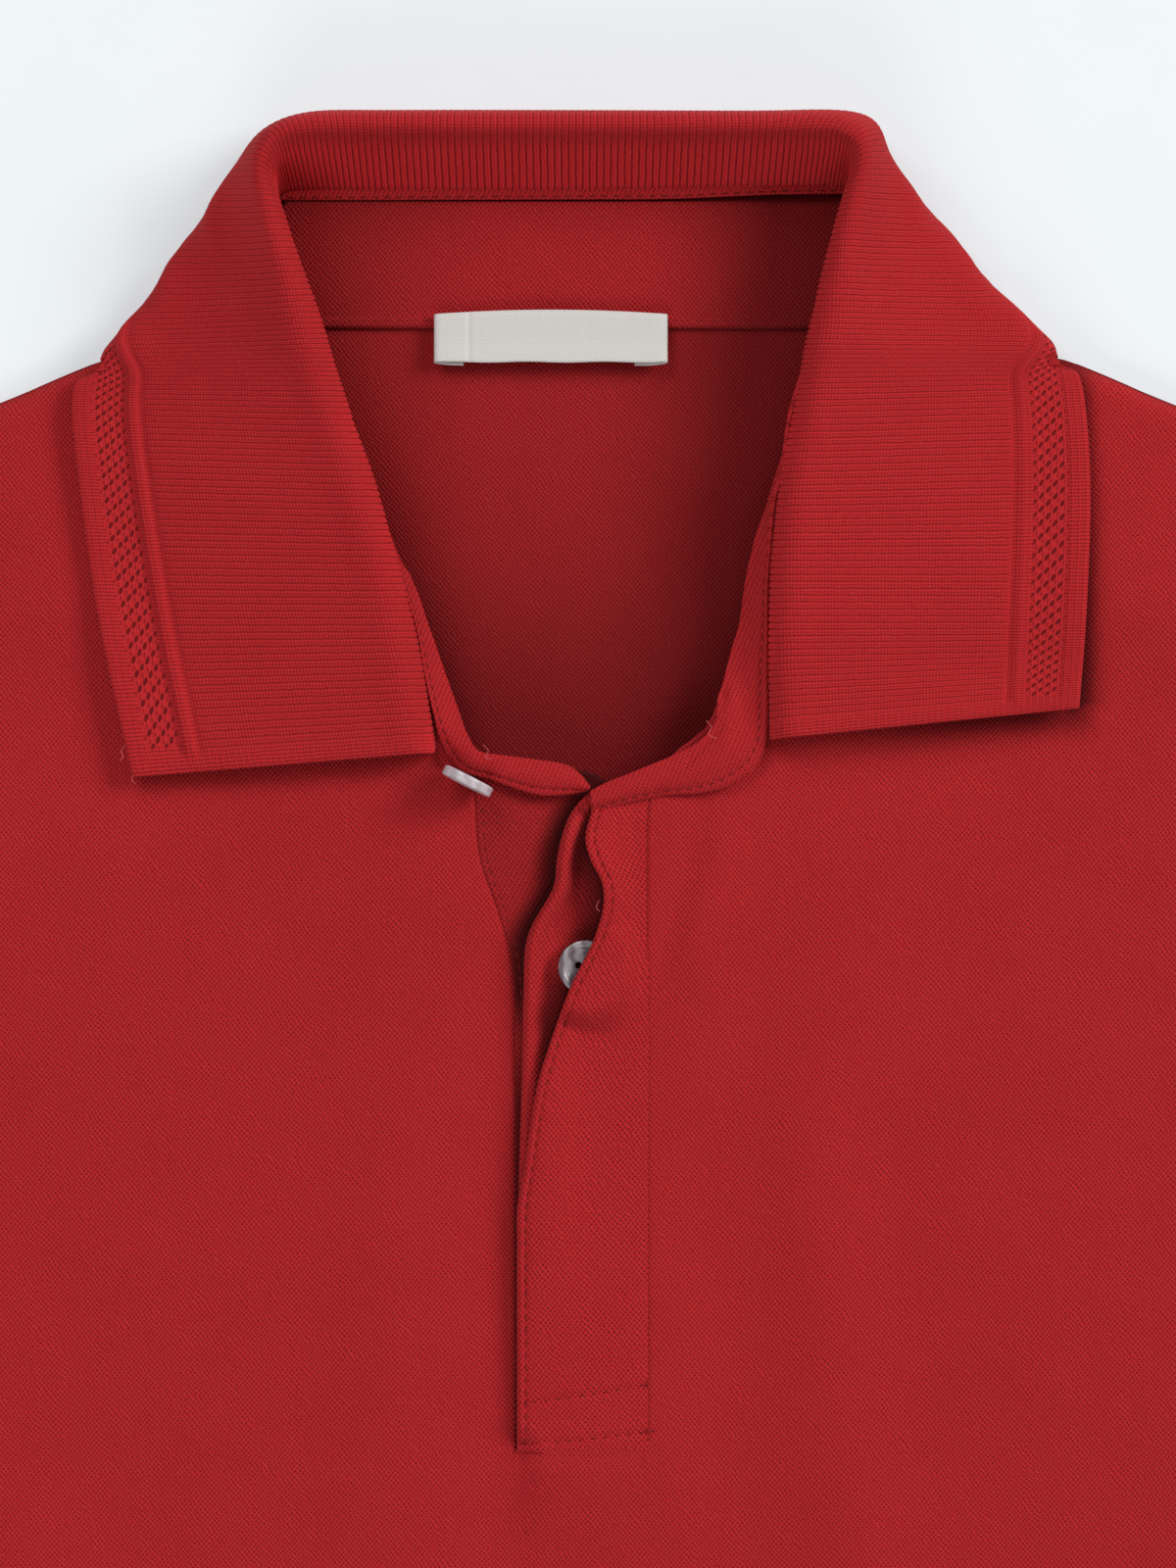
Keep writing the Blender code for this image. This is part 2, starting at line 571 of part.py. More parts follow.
def back_yoke():
    """The straight piece inside the back neck, on the back panel."""
    half = np.array([13.0, 38.0, 60.0, 66.0, NECK_POINT, 77.0, YOKE_HALF])
    xs = np.concatenate([-half[::-1], half])
    rows = np.linspace(0.0, 1.0, 4)
    grid = np.zeros((len(rows), len(xs), 2))
    for j, x in enumerate(xs):
        if abs(x) < NECK_POINT:
            top = -2.6 - 8.0 * smooth(abs(x), 62.0, NECK_POINT)
        else:
            top = float(shoulder_y(x)) - 1.0
        for i, share in enumerate(rows):
            grid[i, j] = (x, YOKE_EDGE + (top - YOKE_EDGE) * share)
    height = PIQUE / 2 + GAP + TRIM / 2
    return surface("back_yoke", raise_grid(grid, lambda x, y: back_mid(x, y) + height), KNIT, TRIM)


def neck_label():
    xs = np.linspace(LABEL_LEFT, LABEL_RIGHT, 9)
    ys = np.linspace(LABEL_BOTTOM, LABEL_TOP, 4)
    grid = np.array([[(x, y) for x in xs] for y in ys])

    def height(x, y):
        over_yoke = back_mid(x, y) + PIQUE / 2 + GAP + TRIM + GAP + TRIM / 2
        middle = (x - (LABEL_LEFT + LABEL_RIGHT) / 2) / (LABEL_RIGHT - LABEL_LEFT)
        return over_yoke + 0.8 * (0.25 - middle * middle)

    return surface("neck_label", raise_grid(grid, height), WOVEN, TRIM)


def neck_tape():
    """A band along the neck seam: over the front's neckline, and over the back's neck edge."""
    left = [(-x, y) for y, x in FRONT_EDGE_LEFT if -131.0 <= y <= -25.0]
    right = [(x, y) for y, x in FRONT_EDGE_RIGHT if -126.0 <= y <= -30.0]
    inner = left + [(-68.5, -11.0), (-62.0, -3.2), (-40.0, -2.4), (0.0, -2.2), (38.0, -2.4), (55.0, -3.4)]
    inner = inner + [(61.5, -12.0)] + right[::-1]
    line = spline(inner, np.linspace(0.0, 1.0, 54))
    along = np.gradient(line, axis=0)
    along /= np.linalg.norm(along, axis=1, keepdims=True)
    outward = np.stack([-along[:, 1], along[:, 0]], axis=1)
    grid = []
    for (x, y), out in zip(line, outward):
        width = float(column(TAPE_WIDTH_LEFT if x < 0 else TAPE_WIDTH_RIGHT, y))
        row = []
        for share in (0.0, 0.5, 1.0):
            px, py = np.array((x, y)) + out * width * share
            back = float(smooth(py, -11.5, -3.0))
            on_front = front_mid(px, min(py, -12.0)) + TAPE_ROOM + 0.3 * float(smooth(py, -45.0, -25.0))
            on_yoke = back_mid(px, py) + YOKE_ROOM
            row.append((px, py, (1 - back) * on_front + back * on_yoke + PIQUE / 2 + GAP + TRIM / 2))
        grid.append(row)
    return surface("neck_tape", np.array(grid), KNIT, TRIM)


# Placket.

def placket_layer(name, left, right, top, lift, rows=16, bulge=None):
    """One layer of the placket between two edges that are read by height."""
    shares = np.linspace(0.0, 1.0, rows)
    grid = np.zeros((rows, 6, 3))
    for i, share in enumerate(shares):
        for j, u in enumerate(np.linspace(0.0, 1.0, 6)):
            end = top(u)
            y = (SLOT_END + GAP) + (end - SLOT_END - GAP) * share
            x = left(y) * (1 - u) + right(y) * u
            z = rest_height(x, y) + lift
            if bulge is not None:
                z += bulge(x, y)
            grid[i, j] = (x, y, z)
    return surface(name, grid, KNIT, TRIM)


def placket_under():
    return placket_layer(
        "placket_under",
        lambda y: -float(column(FRONT_EDGE_LEFT, y)) + GAP + 0.1,
        lambda y: UNDER_RIGHT,
        lambda u: -131.0 - 3.5 * u - 4.5 * float(smooth(u, 0.55, 1.0)),
        0.0,
    )


def placket_fly():
    return placket_layer(
        "placket_fly",
        lambda y: float(column(FLY_EDGE, y)),
        lambda y: SLOT_RIGHT - GAP,
        lambda u: -139.5 + 4.5 * u,
        PLACKET_LIFT,
    )


def button_mid_height():
    """The middle of the fastened button, flat on the highest part of the fly below it."""
    x, y = BUTTON_MID
    below = [
        rest_height(x + BUTTON_RADIUS * math.cos(a), y + BUTTON_RADIUS * math.sin(a))
        for a in np.linspace(0.0, 2 * math.pi, 12)
    ]
    return max(below) + PLACKET_LIFT + TRIM / 2 + GAP + BUTTON_THICKNESS / 2


def button_room(x, y):
    """How far the outer layer rises over the button."""
    away = math.hypot(x - BUTTON_MID[0], y - BUTTON_MID[1])
    over = button_mid_height() + BUTTON_THICKNESS / 2 + 2 * GAP + TRIM / 2
    rise = max(over - rest_height(x, y) - 2 * PLACKET_LIFT, 0.0)
    return rise * (1.0 - float(smooth(away, BUTTON_RADIUS + 3.0, 16.0)))


def placket_outer():
    return placket_layer(
        "placket_outer",
        lambda y: float(column(OUTER_EDGE, y)),
        lambda y: SLOT_RIGHT - GAP,
        lambda u: -143.5 + 5.0 * u,
        2 * PLACKET_LIFT,
        rows=20,
        bulge=button_room,
    )


# Buttons.

def button(name, place, height, tilt=0.0, turn=0.0):
    """A dished disc with a rounded rim and four holes."""
    r = BUTTON_RADIUS
    t = BUTTON_THICKNESS
    profile = [
        (0.0, 0.62 * t), (0.5 * r, 0.62 * t), (0.68 * r, 0.72 * t), (0.8 * r, t), (0.92 * r, 0.98 * t),
        (r, 0.6 * t), (0.93 * r, 0.2 * t), (0.7 * r, 0.0), (0.0, 0.0),
    ]
    mesh = bpy.data.meshes.new(name)
    verts = [(x * MM, 0.0, (z - t / 2) * MM) for x, z in profile]
    edges = [(i, i + 1) for i in range(len(profile) - 1)]
    mesh.from_pydata(verts, edges, [])
    disc = bpy.data.objects.new(name, mesh)
    disc.data.materials.append(SHELL)
    SHIRT.objects.link(disc)
    turned = disc.modifiers.new("turned", "SCREW")
    turned.steps = 20
    turned.render_steps = 20
    turned.use_merge_vertices = True
    turned.merge_threshold = 0.00001
    turned.use_normal_calculate = True
    turned.use_smooth_shade = True
    for k in range(4):
        angle = math.radians(45 + 90 * k)
        bpy.ops.mesh.primitive_cylinder_add(
            vertices=8, radius=0.85 * MM, depth=6 * MM,
            location=(1.55 * MM * math.cos(angle), 1.55 * MM * math.sin(angle), 0.0),
        )
        cutter = bpy.context.object
        cutter.name = f"{name}_hole_{k}"
        cutter.hide_render = True
        cutter.display_type = "WIRE"
        for group in cutter.users_collection:
            group.objects.unlink(cutter)
        CUTTERS.objects.link(cutter)
        cutter.parent = disc
        cut = disc.modifiers.new(f"hole_{k}", "BOOLEAN")
        cut.operation = "DIFFERENCE"
        cut.solver = "EXACT"
        cut.object = cutter
    disc.location = (place[0] * MM, place[1] * MM, height * MM)
    disc.rotation_euler = (tilt, 0.0, turn)
    return disc


def buttons():
    button("button_mid", BUTTON_MID, button_mid_height(), turn=0.5)
    x, y = BUTTON_TOP
    lowest = BUTTON_RADIUS * math.sin(BUTTON_TOP_TILT) + 0.5 * BUTTON_THICKNESS * math.cos(BUTTON_TOP_TILT)
    button("button_top", BUTTON_TOP, front_top(x, y) + GAP + lowest, BUTTON_TOP_TILT, BUTTON_TOP_TURN)


def centre_on_origin():
    """Moves the whole shirt so that the middle of its box is over the origin and it stands on z = 0."""
    bpy.context.view_layer.update()
    graph = bpy.context.evaluated_depsgraph_get()
    low = np.full(3, 1e9)
    high = np.full(3, -1e9)
    for item in SHIRT.objects:
        seen = item.evaluated_get(graph)
        mesh = seen.to_mesh()
        points = np.array([seen.matrix_world @ v.co for v in mesh.vertices])
        low = np.minimum(low, points.min(axis=0))
        high = np.maximum(high, points.max(axis=0))
        seen.to_mesh_clear()
    shift = Vector((-(low[0] + high[0]) / 2, -(low[1] + high[1]) / 2, -low[2]))
    for item in SHIRT.objects:
        item.location = item.location + shift


clear_scene()
SHIRT = bpy.data.collections.new("polo_shirt")
CUTTERS = bpy.data.collections.new("polo_shirt_cutters")
for group in (SHIRT, CUTTERS):
    bpy.context.scene.collection.children.link(group)
KNIT = material("pique_knit", RED, 0.9)
RIB_KNIT = material("rib_knit", RED, 0.9)
WOVEN = material("label_weave", LABEL_WHITE, 0.7)
SHELL = material("pearl", PEARL, 0.25)

relief_rows = np.array([row[0] for row in COLLAR_RELIEF])
plain_rows = np.linspace(relief_rows[-1], COLLAR_DEPTH, COLLAR_PLAIN_COLUMNS + 1)[1:]
COLLAR_SHARES = 1.0 - np.concatenate([relief_rows, plain_rows])[::-1] / COLLAR_DEPTH

back_panel()
front_panel()
sleeve("sleeve_left", -1)
sleeve("sleeve_right", 1)
collar()
back_yoke()
neck_label()
neck_tape()
placket_under()
placket_fly()
placket_outer()
buttons()
centre_on_origin()
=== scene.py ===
"""Looks of a red knitted polo shirt that lies flat on a pale surface, seen from straight above.

Lengths in the tables are millimetres, measured from the middle of the back neck seam: x to the right,
y towards the collar, z up from the surface. Meshes are moved into the part's frame, in metres.
"""

import math

import bmesh
import bpy
import numpy as np
from mathutils import Euler, Matrix, Vector


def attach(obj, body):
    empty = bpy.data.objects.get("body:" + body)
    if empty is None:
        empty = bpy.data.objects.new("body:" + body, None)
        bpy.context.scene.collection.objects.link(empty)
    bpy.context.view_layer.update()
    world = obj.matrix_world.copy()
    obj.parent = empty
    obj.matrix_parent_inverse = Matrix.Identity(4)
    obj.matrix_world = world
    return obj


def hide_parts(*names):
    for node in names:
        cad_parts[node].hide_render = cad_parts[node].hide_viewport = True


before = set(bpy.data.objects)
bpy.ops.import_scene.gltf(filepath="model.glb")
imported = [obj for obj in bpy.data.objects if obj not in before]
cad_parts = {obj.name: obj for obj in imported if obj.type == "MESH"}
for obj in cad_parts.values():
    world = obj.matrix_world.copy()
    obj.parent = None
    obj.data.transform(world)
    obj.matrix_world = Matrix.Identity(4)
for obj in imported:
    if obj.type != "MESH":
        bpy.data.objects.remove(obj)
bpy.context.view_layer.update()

MM = 0.001
SHIFT = np.array([0.0, 340.52, 0.0])

# The shirt's sizes, as its solids have them.
CHEST_HALF = 270.0
HEM_HALF = 262.0
HEM_Y = -700.0
UNDERARM_Y = -250.0
SLEEVE_LENGTH = 225.0
SLEEVE_OPENING = 168.0
SLEEVE_DROOP = math.radians(30.0)
SLEEVE_LAYER = 2.6
PIQUE = 1.2
RIB = 1.8
TRIM = 1.0
GAP = 0.3
COLLAR_DEPTH = 86.0
ROLL = 4.0
SLOT_LEFT = -16.3
SLOT_RIGHT = 14.3
SLOT_END = -292.0
UNDER_RIGHT = 12.5
YOKE_EDGE = -29.5
YOKE_HEM = -31.7
YOKE_HALF = 84.0
YOKE_ROOM = TRIM + GAP
NECK_POINT = 71.0
NECK_TOP = -12.0
NECK_LOW = -131.0
BACK_TOP = 1.4
BACK_MID = PIQUE / 2
TUCK_LIFT = 2.9
LAYER = PIQUE + GAP
AIR = 0.9
EDGE_AIR = 0.4
FLOOR_AIR = 0.02
PLACKET_LIFT = TRIM + GAP
BUTTON_RADIUS = 6.2
BUTTON_THICKNESS = 2.4
HOLE_RADIUS = 0.82
HOLE_OUT = 1.6
BUTTON_MID = (0.0, -180.0)
BUTTON_TOP = (-27.2, -136.8)
BUTTON_TOP_FOOT = (-26.5, -136.0)
BUTTON_TOP_TILT = math.radians(88.0)
BUTTON_TOP_TURN = math.radians(-27.0)
LABEL_LEFT = -35.0
LABEL_RIGHT = 19.1
LABEL_TOP = -27.4
LABEL_BOTTOM = -39.6
# The knits' repeats: the collar's ribs and loops, and its slanting rows of eyelets.
RIB_PITCH = 1.74
RIB_SAMPLES = 4
LOOP_PITCH = 0.83
EYELET_PITCH = 3.2

RED = (0.405, 0.0135, 0.0165)
# Colour of painted shade, mixed into cloth where other layers and the collar shade it.
PAINTED_SHADE_RED = (0.05, 0.001, 0.0015)
LABEL_WHITE = (0.60, 0.58, 0.545)

# Edges of the cut in plan. A front edge goes from height to distance from the middle.
SHOULDER = (
    (NECK_POINT, -12), (90, -31.5), (106, -44), (114, -46.6), (121, -47), (137, -51), (225, -86),
)
ARMHOLE = ((270, -250), (252, -226), (232, -190), (220, -138), (225, -86))
FRONT_EDGE_LEFT = (
    (-292, 16.3), (-200, 16.3), (-178, 17.2), (-167, 20.2), (-155, 24.3), (-141, 25.6), (-131, 26.5),
    (-120, 29.5), (-106, 35), (-90, 41), (-68, 50), (-46, 60), (-25, 67.5), (-12, 71),
)
FRONT_EDGE_RIGHT = (
    (-292, 14.3), (-220, 14.3), (-178, 14.3), (-155, 14.3), (-143, 14.6), (-136, 16), (-130, 21), (-125, 27.5),
    (-118, 31), (-105, 34.8), (-90, 38), (-68, 43.5), (-40, 53.5), (-12, 65),
)
NECK_LOFT = ((0, 3.6), (12, 3.8), (30, 2.6), (60, 0.8), (95, 0))
# Stations of the collar, from the left end of its strip to the right one.
COLLAR_COLUMNS = (
    "fold_x", "fold_y", "fold_z", "seam_x", "seam_y", "out_x", "out_y", "turn", "edge_x", "edge_y", "lean",
)
COLLAR_STATIONS = (
    (-34.8, -130.2, 15, -38.5, -128, -105, -136, 0, 0, 0, 1),
    (-40, -101.1, 18, -43.5, -101, -112.6, -101.1, 0, 0, 0, 1),
    (-49.1, -68.2, 21, -53.5, -68, -117.6, -66, 0, 0, 0, 1),
    (-56.6, -46.6, 23, -62.5, -45.5, -119.2, -45.2, 0, 0, 0, 1),
    (-58, -42, 23.5, -64.3, -41, -116.8, -42.2, 0, 0, 0, 1),
    (-59.5, -37, 24, -66, -36, -113, -38, 8, -112, -41.5, 1),
    (-61.7, -30, 24.5, -68, -28, -107.6, -31.6, 8, -103, -40.5, 1),
    (-65.7, -18, 25.5, -71.5, -16, -97.6, -18.4, 9, -88, -35, 0.9),
    (-70.2, -4, 26, -73.5, -6, -87, -3.6, 12, -76, -27.5, 0.8),
    (-73.3, 6, 26.3, -72, -0.5, -79.4, 6.6, 14, -68.5, -22, 0.5),
    (-71.5, 13, 26.5, -69, 0.8, -75.6, 13, 17, -62.5, -18.5, 0.3),
    (-65.5, 15, 26.5, -63, 1.2, -67, 17, 18, -56, -16.5, 0),
    (-50, 15.3, 26.2, -49, 1.2, -50, 17.4, 18, -45, -15.5, 0),
    (0, 15.3, 26, 0, 1.2, 0, 17.4, 18, 0, -15, 0),
    (44, 15.3, 26.2, 43, 2.2, 44, 17.3, 18, 39, -15.5, 0),
    (57, 15.2, 26.5, 55.5, 2.5, 62.5, 17.6, 18, 49.5, -16.5, 0),
    (62.2, 12.4, 26.5, 60.5, 2.2, 68.4, 14.8, 17, 56, -18.5, 0.3),
    (62, 6.5, 26.3, 63.5, -1, 69, 7.6, 14, 61.5, -21.5, 0.6),
    (59.7, 0, 26, 64.5, -5, 76.7, -0.6, 12, 68, -26.5, 0.8),
    (56, -15, 25.5, 62, -15, 88.6, -15, 9, 80, -34, 0.9),
    (53.4, -28, 24.5, 59.5, -28, 101.5, -28.4, 8, 95.5, -40.5, 1),
    (51.5, -36, 24, 58, -36, 111.6, -36.4, 8, 107.5, -40.2, 1),
    (50.8, -41, 23.5, 57, -41, 113.6, -40.2, 0, 0, 0, 1),
    (49.9, -46.6, 23, 56, -46, 115.4, -44.4, 0, 0, 0, 1),
    (45.1, -70, 21, 51, -70, 117.2, -68, 0, 0, 0, 1),
    (42.9, -100, 18, 47.5, -100, 116.2, -100, 0, 0, 0, 1),
    (43, -127.2, 15, 46.5, -125, 114.6, -120, 0, 0, 0, 1),
)
# Height of the collar's relief by distance from its edge: border, eyelet band, ridge, groove.
COLLAR_RELIEF = (
    (0, -0.35), (0.8, -0.02), (1.5, 0), (4.6, 0), (5.3, -0.3), (13.2, -0.3), (13.9, -0.6), (14.8, 0.1),
    (15.6, 0.6), (17, 0.55), (18, -0.1), (18.7, -0.55), (19.6, -0.15), (20.4, 0),
)
# Loose edges of two placket layers, from height to x.
FLY_EDGE = (
    (-292, -15.9), (-238, -15.6), (-206, -14.8), (-193, -14.5), (-183, -14.3), (-175, -13.9), (-170.5, -12.5),
    (-161, -7.3), (-155, -6.6), (-149.5, -5.4), (-144, -3.2), (-138.8, 1.1),
)
OUTER_EDGE = (
    (-292, -15.9), (-238, -15.9), (-228, -14.5), (-206, -10.8), (-200, -9), (-193, -6.6), (-184, -3.2),
    (-173.4, 2), (-164, 4.3), (-160, 3.7), (-155.5, 1.4), (-150, 0), (-144, 1.4),
)
# The shoulder line of the fine cloth, a little fuller than its solid beside the collar.
SHOULDER_SEEN = (
    (NECK_POINT, -12), (90, -29.5), (106, -38), (112.6, -39.7), (118.6, -42), (124.3, -44.4), (130, -46.9),
    (136, -49.3), (150, -55), (225, -86),
)
# Neck tape at the two sides of the front: inner edge, outer edge.
TAPE_RIGHT = (
    (52.5, -36, 53, -36), (47.5, -51.1, 48, -51.1), (45.5, -64.8, 45.9, -64.8), (42.5, -71.8, 44.1, -71.8),
    (39.8, -79.1, 43.2, -81.4), (37.3, -89.5, 42.5, -91.1), (35.7, -100.5, 42.5, -100.5),
    (33.9, -106.6, 42.5, -108.9), (32.3, -112.7, 42.5, -114.8), (30.9, -117.5, 42.5, -121.6),
    (30, -123, 42, -128.4), (26.4, -127.5, 39.5, -133.6), (20.2, -130.9, 33.4, -138),
    (15.2, -133, 26.4, -139.8), (9.8, -135.2, 19.8, -140.2), (5.2, -137, 12, -141.6),
    (1.1, -139.1, 1.6, -144.3),
)
TAPE_LEFT = (
    (-49.2, -71, -50.5, -70), (-45.9, -80.4, -47.8, -79), (-40.2, -89.8, -43.5, -88),
    (-36.1, -101.1, -39.1, -101.1), (-32.5, -111.4, -37.3, -111.4), (-29.5, -119.8, -35.5, -119.8),
    (-27, -126.5, -33, -128.4), (-24.6, -129.8, -28.9, -134.1), (-20.6, -130.6, -21.1, -136.8),
    (-11.4, -131.8, -11.4, -140), (-4.5, -133, -6.6, -140.2), (-1.1, -135.2, -2.7, -139.8),
    (1.4, -138.2, 0.7, -139.1),
)
# Soft folds of the front that sink or stand up: start x and y, end x and y, height, half width.
VALLEYS = (
    (24, -215, 34, -330, 1, 9),
    (-20, -250, -21, -335, 0.7, 6),
    (70, -150, 95, -205, 0.5, 14),
    (-90, -330, -60, -520, 0.6, 22),
    (120, -380, 60, -600, 0.6, 24),
)
FOLDS = (
    (50, -190, 64, -345, 2.3, 13),
    (6, -225, 10, -330, 0.9, 12),
    (-42, -205, -47, -345, 1.7, 15),
    (92, -130, 50, -196, 1.9, 12),
    (118, -175, 96, -300, 1.2, 26),
    (-92, -170, -84, -300, 1, 28),
    (-180, -230, -90, -420, 2.6, 22),
    (-120, -420, -60, -640, 2.4, 26),
    (-205, -420, -190, -660, 2.2, 20),
    (190, -225, 110, -400, 2.4, 20),
    (60, -430, 110, -650, 2.6, 28),
    (200, -440, 180, -650, 2, 22),
    (0, -380, -10, -560, 1.6, 22),
    (-170, -110, -140, -190, 1.6, 16),
    (175, -115, 150, -195, 1.6, 16),
)


# Curves and heights.

def smooth(value, low, high):
    t = np.clip((np.asarray(value, float) - low) / (high - low), 0.0, 1.0)
    return t * t * (3.0 - 2.0 * t)


def bell(value, centre, width):
    return np.exp(-(((value - centre) / width) ** 2))


def hermite(t, first, last, leave, arrive):
    """Cubic from first to last, with its rises per step at the two ends."""
    return ((2 * t**3 - 3 * t**2 + 1) * first + (t**3 - 2 * t**2 + t) * leave
            + (3 * t**2 - 2 * t**3) * last + (t**3 - t**2) * arrive)


def interval(keys, at):
    return np.clip(np.searchsorted(keys, at, side="right") - 1, 0, len(keys) - 2)


def points(*coordinates):
    """Points from arrays or numbers of their coordinates."""
    return np.stack(np.broadcast_arrays(*coordinates), -1)


def far_along(line):
    """Length of a line of points up to each of them."""
    return np.concatenate([[0.0], np.cumsum(np.linalg.norm(np.diff(line, axis=0), axis=1))])


def spline(knots, shares):
    """Points at the given shares of the length of a smooth curve through knots."""
    knots = np.array(knots, float)
    padded = np.vstack([2 * knots[0] - knots[1], knots, 2 * knots[-1] - knots[-2]])
    t = np.linspace(0.0, 1.0, 24, endpoint=False)[:, None]
    dense = []
    for p0, p1, p2, p3 in zip(padded, padded[1:], padded[2:], padded[3:]):
        d0, d1, d2 = [max(np.linalg.norm(q - p), 1e-6) ** 0.5 for p, q in ((p0, p1), (p1, p2), (p2, p3))]
        leave = d1 * ((p1 - p0) / d0 - (p2 - p0) / (d0 + d1) + (p2 - p1) / d1)
        arrive = d1 * ((p2 - p1) / d1 - (p3 - p1) / (d1 + d2) + (p3 - p2) / d2)
        dense.append(hermite(t, p1, p2, leave, arrive))
    dense = np.vstack([*dense, knots[-1:]])
    length = far_along(dense)
    at = np.asarray(shares) * length[-1]
    return points(*[np.interp(at, length, values) for values in dense.T])


def column(table, value):
    """Reads a two-column table as a smooth function, level at a turning point."""
    keys, values = np.array(table, float).T
    steps = np.diff(values) / np.diff(keys)
    slopes = np.concatenate([steps[:1], (steps[:-1] + steps[1:]) / 2, steps[-1:]])
    slopes[1:-1][steps[:-1] * steps[1:] <= 0] = 0.0
    at = np.clip(value, keys[0], keys[-1])
    i = interval(keys, at)
    h = keys[i + 1] - keys[i]
    return hermite((at - keys[i]) / h, values[i], values[i + 1], h * slopes[i], h * slopes[i + 1])


def shoulder_y(x):
    return column(SHOULDER, np.abs(x))


def back_mid(x, y):
    reach = 1.0 - smooth(np.abs(x), 128.0, 165.0)
    near = 1.0 - smooth(shoulder_y(x) - y, 42.0, 72.0)
    return BACK_MID + TUCK_LIFT * reach * near


def back_top(x, y):
    return back_mid(x, y) + PIQUE / 2


def neck_distance(x, y):
    """Distance from the front's neck edge."""
    level = np.clip(y, NECK_LOW, NECK_TOP)
    inner = np.where(x < 0, column(FRONT_EDGE_LEFT, level), column(FRONT_EDGE_RIGHT, level))
    return np.hypot(np.maximum(np.abs(x) - inner, 0.0), np.maximum(NECK_LOW - y, 0.0))


def ridges(table, x, y):
    """Sum of soft ridges: each fades in and out along its line."""
    total = 0.0
    for x0, y0, x1, y1, high, half in table:
        ax, ay = x1 - x0, y1 - y0
        share = ((x - x0) * ax + (y - y0) * ay) / (ax * ax + ay * ay)
        away = np.hypot(x - x0 - share * ax, y - y0 - share * ay)
        fade = smooth(share, -0.15, 0.25) * (1.0 - smooth(share, 0.7, 1.1))
        total = total + high * fade * bell(away, 0.0, half)
    return total


def placket_step(x, y):
    beside = 1.0 - smooth(x, SLOT_RIGHT, SLOT_RIGHT + 30.0)
    across = smooth(x, SLOT_LEFT - 0.5, SLOT_LEFT + 7.0)
    return 2 * PLACKET_LIFT * beside * across * smooth(y, SLOT_END - 26.0, SLOT_END)


def rest_height(x, y):
    """Middle of the front's wall, without the step up to the placket."""
    to_top = shoulder_y(x) - y
    beside = np.where(y < UNDERARM_Y, smooth(CHEST_HALF - np.abs(x), 4.0, 40.0), 1.0)
    level = EDGE_AIR + (AIR - EDGE_AIR) * smooth(to_top, 0.0, 25.0) * beside
    away = neck_distance(x, y)
    neck = column(NECK_LOFT, away) * (0.25 + 0.75 * smooth(to_top, 0.0, 45.0))
    near_yoke = smooth(y, YOKE_EDGE - 40.0, YOKE_EDGE - 5.0)
    near_yoke = near_yoke * (1.0 - smooth(np.abs(x), YOKE_HALF + 4.0, 140.0))
    room = YOKE_ROOM * np.maximum(near_yoke, 1.0 - smooth(away, 30.0, 70.0))
    return back_mid(x, y) + LAYER + level + neck + room - ridges(VALLEYS, x, y) * level / AIR


def front_top(x, y):
    return rest_height(x, y) + placket_step(x, y) + PIQUE / 2


def waves(x, y, size, seed):
    """Gentle uneven lift of laid cloth, from 0 to about size."""
    rng = np.random.default_rng(seed)
    total = 0.0
    for _ in range(9):
        angle = rng.uniform(0, math.pi)
        length = rng.uniform(38.0, 120.0)
        phase = rng.uniform(0, 2 * math.pi)
        total = total + np.sin((x * math.cos(angle) + y * math.sin(angle)) * 2 * math.pi / length + phase)
    return size * (0.5 + 0.5 * np.tanh(total / 3.0))


def cloth_lift(x, y):
    """How far the fine cloth stands above its solid: folds and waves, none at the seams and the collar."""
    seam = smooth(CHEST_HALF - np.abs(x), 2.0, 30.0) * smooth(y, HEM_Y + 2.0, HEM_Y + 40.0)
    seam = seam * smooth(shoulder_y(x) - y, 3.0, 30.0)
    slot = smooth(np.abs(x - (SLOT_LEFT + SLOT_RIGHT) / 2), 15.3, 30.0)
    slot = np.where(y < SLOT_END - 4.0, smooth(SLOT_END - y, 4.0, 30.0) * (1 - slot) + slot, slot)
    beyond = smooth(np.abs(x), 118.0, 140.0)
    under_leaf = smooth(-y, 112.0, 150.0) * (1 - beyond) + beyond
    under_leaf = np.where(np.abs(x) < 30.0, smooth(-y, 145.0, 165.0), under_leaf)
    return (ridges(FOLDS, x, y) + waves(x, y, 0.7, 4)) * seam * slot * under_leaf


# Meshes.

def link(name, data):
    made = bpy.data.objects.new(name, data)
    bpy.context.scene.collection.objects.link(made)
    return made


def piece(name, verts, quads, material, weave=None, zone=None, more=(), crisp_from=None):
    """A mesh in millimetres as a piece that rides on the shirt; quads from crisp_from on are shaded flat."""
    mesh = bpy.data.meshes.new(name)
    mesh.from_pydata(((verts + SHIFT) * MM).tolist(), [], quads.tolist() + list(more))
    mesh.materials.append(material)
    soft = np.ones(len(mesh.polygons), bool)
    if crisp_from is not None:
        soft[crisp_from:] = False
    mesh.polygons.foreach_set("use_smooth", soft)
    for key, values in (("weave", weave), ("zone", zone)):
        if values is not None:
            layer = mesh.attributes.new(key, "FLOAT_VECTOR", "POINT")
            layer.data.foreach_set("vector", np.asarray(values, np.float32).ravel())
    mesh.update()
    made = link(name, mesh)
    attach(made, "root")
    return made


def grid_normals(grid, closed=False):
    if closed:
        across = np.roll(grid, -1, axis=1) - np.roll(grid, 1, axis=1)
    else:
        across = np.gradient(grid, axis=1)
    normals = np.cross(across, np.gradient(grid, axis=0))
    return normals / np.maximum(np.linalg.norm(normals, axis=2, keepdims=True), 1e-9)


def grid_quads(rows, columns, closed=False):
    index = np.arange(rows * columns).reshape(rows, columns)
    right = np.roll(index, -1, axis=1) if closed else index[:, 1:]
    left = index if closed else index[:, :-1]
    return np.stack([left[:-1], right[:-1], right[1:], left[1:]], -1)


